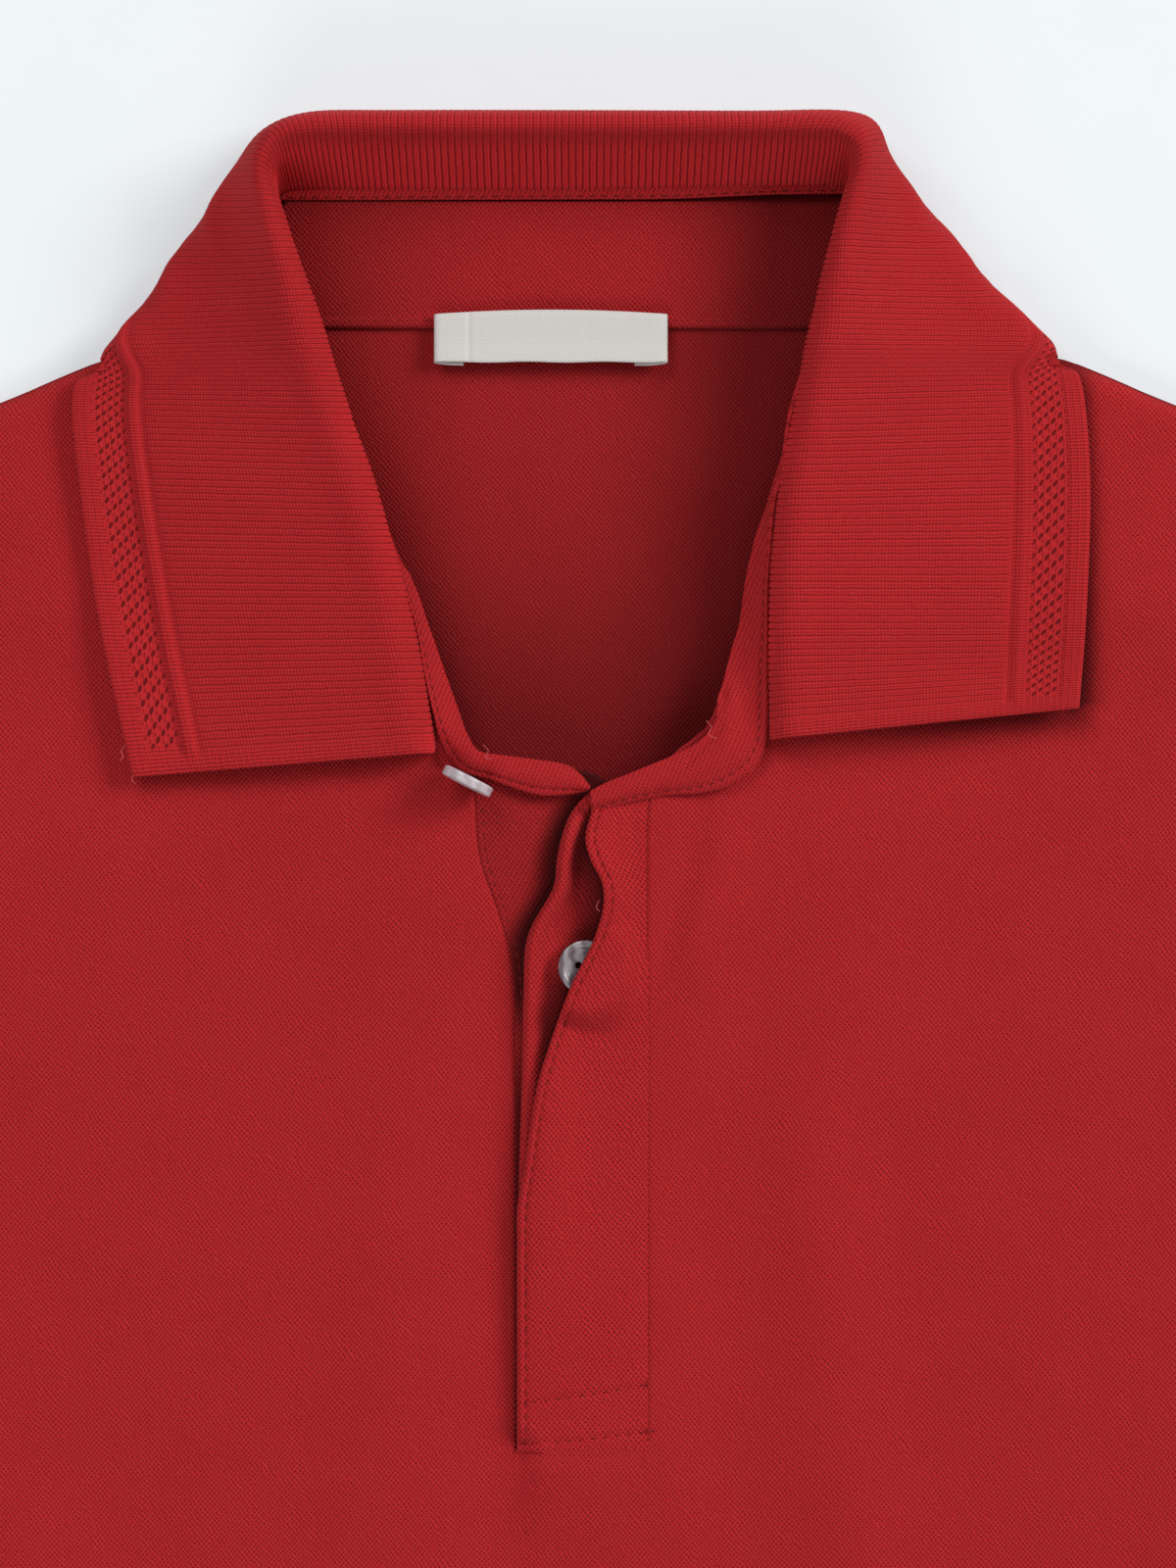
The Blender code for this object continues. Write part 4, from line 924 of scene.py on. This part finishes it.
def tape_side(x, y, u, fold, drop):
    """The tape's height where it climbs from the front to below the collar's fold."""
    inner = front_top(x, np.minimum(y, NECK_TOP)) + GAP + TRIM
    return inner + (column(fold, y) - drop - inner) * smooth(u, 0.0, 1.0) * 0.9


def right_height(x, y, share, u):
    side = tape_side(x, y, u, FOLD_RIGHT, 3.2)
    band = rest_height(x, y) + 2 * PLACKET_LIFT + 2.4 + 1.5 * np.sin(math.pi * u) - 1.5 * u
    low = np.maximum(smooth(-y, 118.0, 132.0), smooth(-x, -40.0, -32.0) * smooth(-y, 110.0, 120.0))
    cord = 0.75 * bell(u, 0.92, 0.06) - 0.5 * bell(u, 0.80, 0.05)
    dent = 1.3 * bell(x, 31.8, 1.6) * bell(y, -117.0, 2.6)
    pleat = 0.5 * bell(x - 0.9 * (y + 127.0), 29.0, 0.8) * smooth(-y, 120.0, 125.0)
    return side * (1 - low) + band * low + cord * (1 - 0.7 * low) - dent - pleat


def left_height(x, y, share, u):
    side = tape_side(x, y, u, FOLD_LEFT, 3.0)
    band = rest_height(x, y) + 3.4 + 1.6 * np.sin(math.pi * np.minimum(u * 0.9 + 0.1, 1.0))
    band = band - 0.35 * bell(u, 0.80, 0.05) - smooth(share, 0.85, 1.0)
    low = smooth(-y, 118.0, 130.0)
    return side * (1 - low) + band * low


def back_height(x, y, share, u):
    return back_top(x, y) + YOKE_ROOM + TRIM - 0.62 + 0.25 * np.sin(math.pi * u)


def tape_cloths():
    right, right_grid = strip("tape_right", TAPE_RIGHT, 200, 41, right_height)
    left, left_grid = strip("tape_left", TAPE_LEFT, 160, 25, left_height)
    x = np.array([-72.5, -45.0, -20.0, 0.0, 20.0, 45.0, 66.0])
    rise = 1.5 * smooth(x, 10.0, 55.0)
    pairs = points(x, 2.6 - 0.01 * np.abs(x) + rise, x, -1.7 - np.abs(x) / 300 + rise)
    back, back_grid = strip("tape_back", pairs, 150, 7, back_height, 0.5)
    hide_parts("neck_tape")
    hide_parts("neck_tape")
    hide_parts("neck_tape")
    return left_grid, right_grid, back_grid


def yoke_cloth():
    half = np.concatenate([np.linspace(0.0, 60.0, 34)[:-1], np.linspace(60.0, YOKE_HALF, 16)])
    x = np.concatenate([-half[:0:-1], half])
    out = np.abs(x)
    top = np.where(out < 72.4, -2.2 - 8.0 * smooth(out, 70.2, 72.4), shoulder_y(x) - 1.0)
    share = np.concatenate([np.linspace(0.0, 0.14, 12)[:-1], np.linspace(0.14, 1.0, 20)])[:, None]
    y = YOKE_HEM + (top - YOKE_HEM) * share
    z = back_top(x, y) + GAP + TRIM + 0.35 * (1.0 - smooth(y, YOKE_HEM + 2.0, YOKE_HEM + 2.6))
    ripple = 0.35 * bell(x + y, -30.0, 9.0) + 0.4 * bell(x - 0.6 * y, 46.0, 8.0)
    z += ripple * smooth(y, YOKE_EDGE, YOKE_EDGE + 6) * (1 - smooth(y, -9, -3))
    z -= 0.8 * (1 - smooth(y, YOKE_HEM, YOKE_HEM + 0.7))
    # Painted shade towards both ends of the yoke, under the collar's leaves, more on the right.
    painted_shade = 0.33 * smooth(-x, 20.0, 58.0) + 0.58 * smooth(x, 12.0, 46.0)
    made = shell("yoke_cloth", points(x, y, z), PIQUE_YOKE_SHADED, 0.8, painted_shade=np.broadcast_to(painted_shade, y.shape))
    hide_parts("back_yoke")


def label_cloth():
    """A woven strip whose two ends are folded under it."""
    base = float(back_top(0.0, -35.0)) + GAP + TRIM + 0.7
    left, right = LABEL_LEFT, LABEL_RIGHT
    middle, width = (left + right) / 2, right - left
    # Profile of the strip: x, height, and how far its edges draw in.
    path = [(left + 6.8, base + 0.25, 0.8), (left + 3.0, base + 0.1, 0.7), (left + 0.5, base + 0.3, 0.35)]
    path += [(left - 0.1, base + 0.9, 0.1), (left + 0.4, base + 1.5, 0.0), (left + 3.0, base + 1.7, 0.0)]
    path += [(x, base + 1.6 + 0.7 * (0.25 - ((x - middle) / width) ** 2), 0.0)
             for x in np.linspace(left + 8.0, right - 8.0, 8)]
    path += [(right - 3.0, base + 1.7, 0.0), (right - 0.4, base + 1.5, 0.0), (right + 0.1, base + 0.9, 0.1)]
    path += [(right - 0.5, base + 0.3, 0.35), (right - 3.0, base + 0.1, 0.6), (right - 7.6, base + 0.25, 0.7)]
    line = spline(path, np.linspace(0.0, 1.0, 190))
    x, z, draw = line.T[..., None]
    up = np.linspace(0.0, 1.0, 26)
    low = LABEL_BOTTOM - draw + 0.1 * np.sin(x * 0.35)
    high = LABEL_TOP - 4.0 * ((x - middle) / width) ** 2 - draw
    y = low + (high - low) * up
    z = z + 0.5 * smooth(up, 0.5, 0.0) - 0.25 * smooth(up, 0.9, 1.0) - 0.22 * bell(x, -27.0, 0.55)
    weave = points(far_along(line[:, :2])[:, None], y, 0.0)
    made = shell("label_cloth", points(x, y, z), WOVEN, 0.22, weave)
    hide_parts("neck_label")


# Placket.

# The soft crease beside the placket: where it starts, and how it runs down.
PINCH_START = (26.0, -148.0)
PINCH_RUN = (-9.0, -32.0)
# The two sewn lines across the lower end: height at the left, rise to the right, and where each line ends.
BOX_LINES = ((-281.5, 4.9, 15.5), (-291.0, 3.3, 17.2))


def button_mid_height():
    a = np.linspace(0.0, 2 * math.pi, 12)
    x, y = BUTTON_MID
    below = rest_height(x + BUTTON_RADIUS * np.cos(a), y + BUTTON_RADIUS * np.sin(a)).max()
    return float(below) + PLACKET_LIFT + TRIM / 2 + GAP + BUTTON_THICKNESS / 2


def outer_bulge(x, y):
    """The outer layer stands over the button and arches up towards its loose edge."""
    away = np.hypot(x - BUTTON_MID[0], y - BUTTON_MID[1])
    over = button_mid_height() + BUTTON_THICKNESS / 2 + 2 * GAP + TRIM / 2
    rise = np.maximum(over - rest_height(x, y) - 2 * PLACKET_LIFT, 0.0)
    button = rise * (1.0 - smooth(away, BUTTON_RADIUS + 3.0, 17.0))
    loose = 5.2 * bell(y, -162.0, 15.0) * (1.0 - smooth(x, 0.0, 13.5))
    loose += 2.4 * smooth(y, -285.0, -225.0) * (1.0 - smooth(y, -200.0, -170.0)) * bell(x, -9.0, 8.0)
    return np.maximum(button, loose) * (1.0 - smooth(x, 9.0, 13.5))


def pinch(x, y):
    """A soft crease that runs down from under the collar to the placket's seam, with a swell beside it."""
    (x0, y0), (run_x, run_y) = PINCH_START, PINCH_RUN
    along = ((x - x0) * run_x + (y - y0) * run_y) / (run_x**2 + run_y**2)
    away = x - x0 - run_x * along
    fade = smooth(along, -0.35, 0.2) * (1.0 - smooth(along, 0.75, 1.25))
    return fade * (0.9 * bell(away, 7.0, 5.0) - 1.15 * bell(away, 0.0, 3.6))


def rolled(edge, radius, drop):
    """How a layer rounds off to its edge."""
    inward = 1.0 - np.clip(edge / radius, 0.0, 1.0)
    return -drop * (1.0 - np.sqrt(1.0 - inward**2))


def sag(x, y):
    """The two lower layers sink where the outer one stands open."""
    return 1.5 * bell(y, -160.0, 15.0) * bell(x, 1.0, 9.0)


def box_line(line, x):
    """Height in plan of a sewn line across the lower end."""
    low, rise, _ = line
    share = (x + 15.9) / 32.4
    return low + rise * share - 0.4 * np.sin(math.pi * share)


def under_height(x, y, edge):
    z = rest_height(x, y) + TRIM / 2 + 0.1 - 1.3 * (1.0 - smooth(edge, 0.1, 1.3)) - 0.15 * bell(edge, 2.5, 0.35)
    z = z - sag(x, y) - 0.8 * smooth(-y, 192.0, 225.0) * smooth(edge, 0.5, 2.0)
    return z - 0.5 * (1.0 - smooth(y, SLOT_END, SLOT_END + 7.0))


def fly_height(x, y, edge):
    """The fly curls up along its loose edge, most beside the button."""
    beside = smooth(y, -215.0, -165.0)
    high = 3.4 * beside + 1.3 * smooth(y, -292.0, -240.0) * (1.0 - beside)
    curl = bell(np.maximum(edge - 1.8, 0.0), 0.0, 2.6) * smooth(edge, -1.0, 1.6)
    z = rest_height(x, y) + PLACKET_LIFT + TRIM / 2 + rolled(edge, 1.3, 0.9)
    z = z + high * (1.0 - smooth(y, -150.0, -141.0)) * curl - 0.2 * bell(edge, 2.1, 0.35)
    return z - sag(x, y) * smooth(edge, 2.0, 6.0) - 1.2 * (1.0 - smooth(y, SLOT_END, SLOT_END + 7.0))


def outer_height(x, y, edge):
    """The outer layer: a rolled stitched edge, the arch over the button, and a lower end level with the front."""
    z = rest_height(x, y) + 2 * PLACKET_LIFT + TRIM / 2 + 0.1 + rolled(edge, 1.4, 0.9) + outer_bulge(x, y)
    z = z + 0.35 * bell(edge, 1.0, 0.8) - 0.42 * bell(edge, 2.1, 0.4) + pinch(x, y)
    level = 1.0 - smooth(y, SLOT_END + 0.4, SLOT_END + 6.0)
    z = (1 - level) * z + level * (front_top(x, np.maximum(y, SLOT_END)) + 0.5 * (1 - smooth(edge, 3.0, 9.0)))
    past = x - np.maximum(column(FRONT_EDGE_RIGHT, y), SLOT_RIGHT)
    tucked = np.maximum(smooth(past, 0.6, 1.5), smooth(SLOT_END - y, 0.6, 1.5))
    near = np.maximum(smooth(past, -2.0, -0.2), smooth(SLOT_END - y, -2.0, -0.2))
    pressed = sum(bell(y, box_line(line, x), 0.5) for line in BOX_LINES) * (1.0 - 0.4 * bell(x, 3.0, 6.0))
    return z - 1.3 * tucked - 0.05 * near - 0.55 * pressed


# Painted shade on the under layer: beneath the fly's loose edge, low in the slot, and a little all over.
def under_painted_shade(x, y, edge):
    below_fly = smooth(x - column(FLY_EDGE, y), -7.0, -0.5) * smooth(y, -200.0, -185.0)
    return 0.75 * below_fly + 0.55 * smooth(-y, 190.0, 215.0) * smooth(edge, 0.4, 1.0) + 0.24


# Painted shade on the fly beneath and beside the outer layer's loose edge.
def fly_painted_shade(x, y, edge):
    past = x - column(OUTER_EDGE, y)
    return 0.8 * smooth(past, -9.0, -1.0) * smooth(edge, 2.0, 6.0) + 0.5 * smooth(past, -1.0, 1.0)


def placket_layer(name, node, left, right, top, height, painted_shade, rows=130, columns=50, start=SLOT_END + GAP):
    u = np.linspace(0.0, 1.0, columns) ** 1.2
    y = start + (top(u) - start) * np.linspace(0.0, 1.0, rows)[:, None]
    a = left(y)
    x = a + (right(y) - a) * u
    grid = points(x, y, height(x, y, x - a))
    weave = points(x - 0.7 * a, y, 0.0)
    painted_shade = painted_shade and painted_shade(x, y, x - a)
    made = shell(name, grid, PIQUE_PLACKET, 0.85, weave, painted_shade, crisp=node == "placket_outer")
    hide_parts(node)
    return grid


def plackets():
    placket_layer(
        "placket_under_cloth", "placket_under",
        lambda y: -column(FRONT_EDGE_LEFT, y) - 0.9, lambda y: UNDER_RIGHT,
        lambda u: NECK_LOW - 3.5 * u - 4.5 * smooth(u, 0.55, 1.0), under_height, under_painted_shade,
    )
    placket_layer(
        "placket_fly_cloth", "placket_fly", lambda y: column(FLY_EDGE, y), lambda y: SLOT_RIGHT - GAP,
        lambda u: -139.5 + 4.5 * u, fly_height, fly_painted_shade, columns=44,
    )
    return placket_layer(
        "placket_outer_cloth", "placket_outer",
        lambda y: column(OUTER_EDGE, y), lambda y: np.maximum(column(FRONT_EDGE_RIGHT, y), SLOT_RIGHT) + 1.5,
        lambda u: -143.5 + 5.0 * u, outer_height, None,
        230, 62, SLOT_END - 1.5,
    )


# Buttons.

def button(name, node, material, place, height, tilt=0.0, turn=0.0):
    """A dished disc with a rounded rim and four holes."""
    r, t = BUTTON_RADIUS, BUTTON_THICKNESS
    steps, sides = 44, 64
    profile = spline(
        [(0.02, 0.60 * t), (0.3 * r, 0.58 * t), (0.52 * r, 0.62 * t), (0.68 * r, 0.74 * t), (0.8 * r, 0.95 * t),
         (0.9 * r, t), (0.97 * r, 0.97 * t), (r, 0.88 * t), (r, 0.5 * t), (r, 0.16 * t), (0.975 * r, 0.04 * t),
         (0.88 * r, 0.0), (0.6 * r, 0.0), (0.02, 0.0)],
        np.linspace(0, 1, steps),
    )
    a = np.linspace(0, 2 * math.pi, sides, endpoint=False)
    grid = points(profile[:, :1] * np.cos(a), profile[:, :1] * np.sin(a), profile[:, 1:] - t / 2)
    quads = grid_quads(steps, sides, True).reshape(-1, 4)[:, ::-1]
    caps = [list(range(sides))[::-1], list(range((steps - 1) * sides, steps * sides))]
    mesh = bpy.data.meshes.new(name)
    mesh.from_pydata((grid.reshape(-1, 3) * MM).tolist(), [], quads.tolist() + caps)
    mesh.materials.append(material)
    made = link(name, mesh)
    shape = bmesh.new()
    shape.from_mesh(mesh)
    bmesh.ops.recalc_face_normals(shape, faces=shape.faces)
    shape.to_mesh(mesh)
    shape.free()
    cutters = []
    for k in range(4):
        angle = math.radians(45 + 90 * k)
        bpy.ops.mesh.primitive_cylinder_add(
            vertices=20, radius=HOLE_RADIUS * MM, depth=6 * MM,
            location=(HOLE_OUT * MM * math.cos(angle), HOLE_OUT * MM * math.sin(angle), 0.0),
        )
        cutters.append(bpy.context.object)
        cut = made.modifiers.new(f"hole_{k}", "BOOLEAN")
        cut.operation = "DIFFERENCE"
        cut.solver = "EXACT"
        cut.object = cutters[-1]
    bpy.context.view_layer.update()
    graph = bpy.context.evaluated_depsgraph_get()
    cut_mesh = bpy.data.meshes.new_from_object(made.evaluated_get(graph))
    made.modifiers.clear()
    made.data = cut_mesh
    for cutter in cutters:
        bpy.data.objects.remove(cutter)
    where = Matrix.Translation(Vector((place[0] * MM, (place[1] + SHIFT[1]) * MM, height * MM)))
    made.data.transform(where @ Euler((tilt, 0.0, turn)).to_matrix().to_4x4())
    made.data.shade_smooth()
    made.data.set_sharp_from_angle(angle=math.radians(50))
    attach(made, "root")
    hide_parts(node)


def buttons():
    button("button_mid_shell", "button_mid", PEARL_SHADED, BUTTON_MID, button_mid_height(), turn=0.5)
    height = float(front_top(*BUTTON_TOP_FOOT)) + GAP + BUTTON_RADIUS
    button("button_top_shell", "button_top", PEARL_EDGE, BUTTON_TOP, height, BUTTON_TOP_TILT, BUTTON_TOP_TURN)


# Sewing.

# Ends of yarn that stick out at the collar's point and at the neck seam.
LOOSE_THREADS = (
    ((-106.8, -128.6, 9.2), (-107.6, -129.8, 9.0), (-107.2, -131.2, 9.1), (-107.9, -132.0, 9.0)),
    ((-104.9, -135.4, 8.9), (-105.1, -136.8, 8.8), (-104.4, -137.4, 8.7)),
    ((28.0, -122.8, 16.0), (29.2, -124.2, 16.6), (28.6, -126.0, 16.4), (30.4, -127.0, 16.0)),
    ((-23.6, -128.4, 15.6), (-22.4, -129.8, 16.4), (-23.0, -131.4, 16.2), (-21.8, -131.8, 15.6)),
    ((3.2, -164.5, 12.0), (2.6, -166.2, 12.6), (3.4, -167.0, 12.2)),
)
# Rings of one stitch: share of its length, width, and height, in shares of its radius.
STITCH_RINGS = ((0.0, 0.35, -1.6), (0.12, 0.85, -0.5), (0.35, 1.0, 0.25), (0.65, 1.0, 0.25), (0.88, 0.85, -0.5),
                (1.0, 0.35, -1.6))


def sew(path, length=2.3, gap=0.6, radius=0.17, sink=0.14):
    """Short stitches along a line in space; each dips into the cloth at its two ends."""
    far = far_along(path)
    count = max(int(far[-1] / (length + gap)), 1)
    start = np.arange(count) * (length + gap) + gap / 2
    ends = [points(*[np.interp(at, far, values) for values in path.T]) for at in (start, start + length)]
    return [(a, b, radius, sink) for a, b in zip(*ends)]


def stitch_mesh(name, stitches, material):
    """All stitches as one mesh of small spindles."""
    sides = 6
    shares, widths, arch = np.array(STITCH_RINGS).T[..., None]
    angles = np.linspace(0, 2 * math.pi, sides, endpoint=False)[:, None]
    base = grid_quads(len(shares), sides, True).reshape(-1, 4)
    verts, quads = [], []
    for k, (a, b, radius, sink) in enumerate(stitches):
        line = b - a
        side = np.cross(line, (0.0, 0.0, 1.0))
        side /= max(np.linalg.norm(side), 1e-6)
        up = np.cross(side, line / (np.linalg.norm(line) or 1.0))
        centre = a + line * shares + up * (arch * radius + radius * 0.45 - sink)
        ring = (np.cos(angles) * side + np.sin(angles) * up) * radius
        verts.append((centre[:, None] + ring * widths[:, None]).reshape(-1, 3))
        quads.append(base + k * len(shares) * sides)
    made = piece(name, np.vstack(verts), np.vstack(quads), material)


def on_front(x, y):
    return points(x, y, front_top(x, y) + cloth_lift(x, y) + hem_step(y))


def sewing(left_tape, right_tape, back_tape, outer):
    neck = sew(right_tape[70:, -8] + (0, 0, 0.05), 2.0) + sew(left_tape[30:, -6] + (0, 0, 0.05), 2.0)
    neck += sew(back_tape[:, 5] + (0, 0, 0.05), 2.2)
    edge = outer[..., 0] - outer[:, :1, 0]
    line = [[np.interp(2.1, across, values) for values in row.T] for across, row in zip(edge, outer)]
    neck += sew(np.array(line) + (0, 0, 0.04))
    y = np.linspace(-196.0, -137.0, 50)
    x = -column(FRONT_EDGE_LEFT, y) + 1.6
    neck += sew(points(x, y, rest_height(x, y) + TRIM / 2), radius=0.16)
    for line in BOX_LINES:
        x = np.linspace(-15.7, line[2], 40)
        y = box_line(line, x)
        z = np.where(x > SLOT_RIGHT, front_top(x, y), outer_height(x, y, x - SLOT_LEFT))
        neck += sew(points(x, y, z), 1.9, 0.9, sink=0.05)
    x, y = np.linspace(-82.0, 82.0, 90), YOKE_HEM + 1.9
    neck += sew(points(x, y, back_top(x, y) + GAP + TRIM + 0.3))

    loose = []
    for knots in LOOSE_THREADS:
        line = spline(knots, np.linspace(0, 1, 12))
        loose += [(a, b + (b - a) * 0.2, 0.09, 0.0) for a, b in zip(line[:-1], line[1:])]

    hems = []
    for y in (HEM_Y + 17.0, HEM_Y + 19.2):
        for start, end in ((-260.0, -17.0), (-17.0, 15.0), (15.0, 260.0)):
            hems += sew(on_front(np.linspace(start, end, 120), y), 2.6, 0.8, 0.2)
    for side in (-1, 1):
        x, y = spline(ARMHOLE, np.linspace(0.03, 0.99, 120)).T
        hems += sew(on_front(side * (x - 3.0), y), 2.4, 0.7, 0.18)
    stitch_mesh("loose_threads", loose, THREAD_END)
    stitch_mesh("neck_stitches", neck, THREAD)
    stitch_mesh("hem_stitches", hems, THREAD)


back_cloth()
front_cloth()
sleeve_cloth("sleeve_left_cloth", "sleeve_left", -1)
sleeve_cloth("sleeve_right_cloth", "sleeve_right", 1)
collar_cloth()
yoke_cloth()
label_cloth()
tapes = tape_cloths()
outer_layer = plackets()
buttons()
sewing(*tapes, outer_layer)


# Floor, light and camera.

FLOOR_HALF = 4.0
FLOOR_Z = -0.0005
LIT_POINT = (0.0, 0.2, 0.0)
CAMERA_PLACE = (0.00068, 0.20302)
CAMERA_DISTANCE = 2.6
CLOTH_LEVEL = 0.010
SENSOR = 24.0
PICTURE_HEIGHT = 0.36364


def stage():
    s = Shader("pale_floor", (0.55, 0.57, 0.59), 0.8, {
        "Specular IOR Level": 0.0, "Emission Color": (0.86, 0.905, 0.935, 1.0), "Emission Strength": 0.50,
    })
    grain = s.noise(s.place(), 40.0)
    mesh = bpy.data.meshes.new("floor")
    corners = [(x * FLOOR_HALF, y * FLOOR_HALF, FLOOR_Z) for x, y in ((-1, -1), (1, -1), (1, 1), (-1, 1))]
    mesh.from_pydata(corners, [], [(0, 1, 2, 3)])
    mesh.materials.append(s.finish(s.mix(grain, (0.395, 0.413, 0.42), (0.415, 0.433, 0.44))))
    floor = link("floor", mesh)


def area_light(name, place, size, power, colour):
    light = bpy.data.lights.new(name, "AREA")
    light.shape = "RECTANGLE"
    light.size, light.size_y = size
    light.energy = power
    light.color = colour
    holder = link(name, light)
    holder.location = place
    holder.rotation_euler = (Vector(LIT_POINT) - Vector(place)).to_track_quat("-Z", "Y").to_euler()


def lights():
    area_light("key", (2.35, 1.4, 1.65), (1.4, 1.2), 76.0, (1.0, 0.99, 0.98))
    area_light("top", (-0.9, 1.7, 1.55), (1.3, 1.0), 24.0, (0.98, 0.99, 1.0))
    area_light("front", (-0.4, -1.5, 1.3), (1.6, 1.2), 18.5, (0.98, 0.99, 1.0))
    world = bpy.data.worlds.new("studio")
    world.use_nodes = True
    background = world.node_tree.nodes["Background"].inputs
    background["Color"].default_value = (0.95, 0.975, 1.0, 1.0)
    background["Strength"].default_value = 0.22
    bpy.context.scene.world = world
    bpy.context.scene.view_settings.view_transform = "Standard"
    bpy.context.scene.view_settings.look = "None"


def camera():
    lens = bpy.data.cameras.new("camera")
    lens.sensor_fit = "VERTICAL"
    lens.sensor_height = SENSOR
    lens.lens = SENSOR * CAMERA_DISTANCE / PICTURE_HEIGHT
    lens.clip_end = 20.0
    holder = link("camera", lens)
    holder.location = (*CAMERA_PLACE, CAMERA_DISTANCE + CLOTH_LEVEL)
    bpy.context.scene.camera = holder


stage()
lights()
camera()
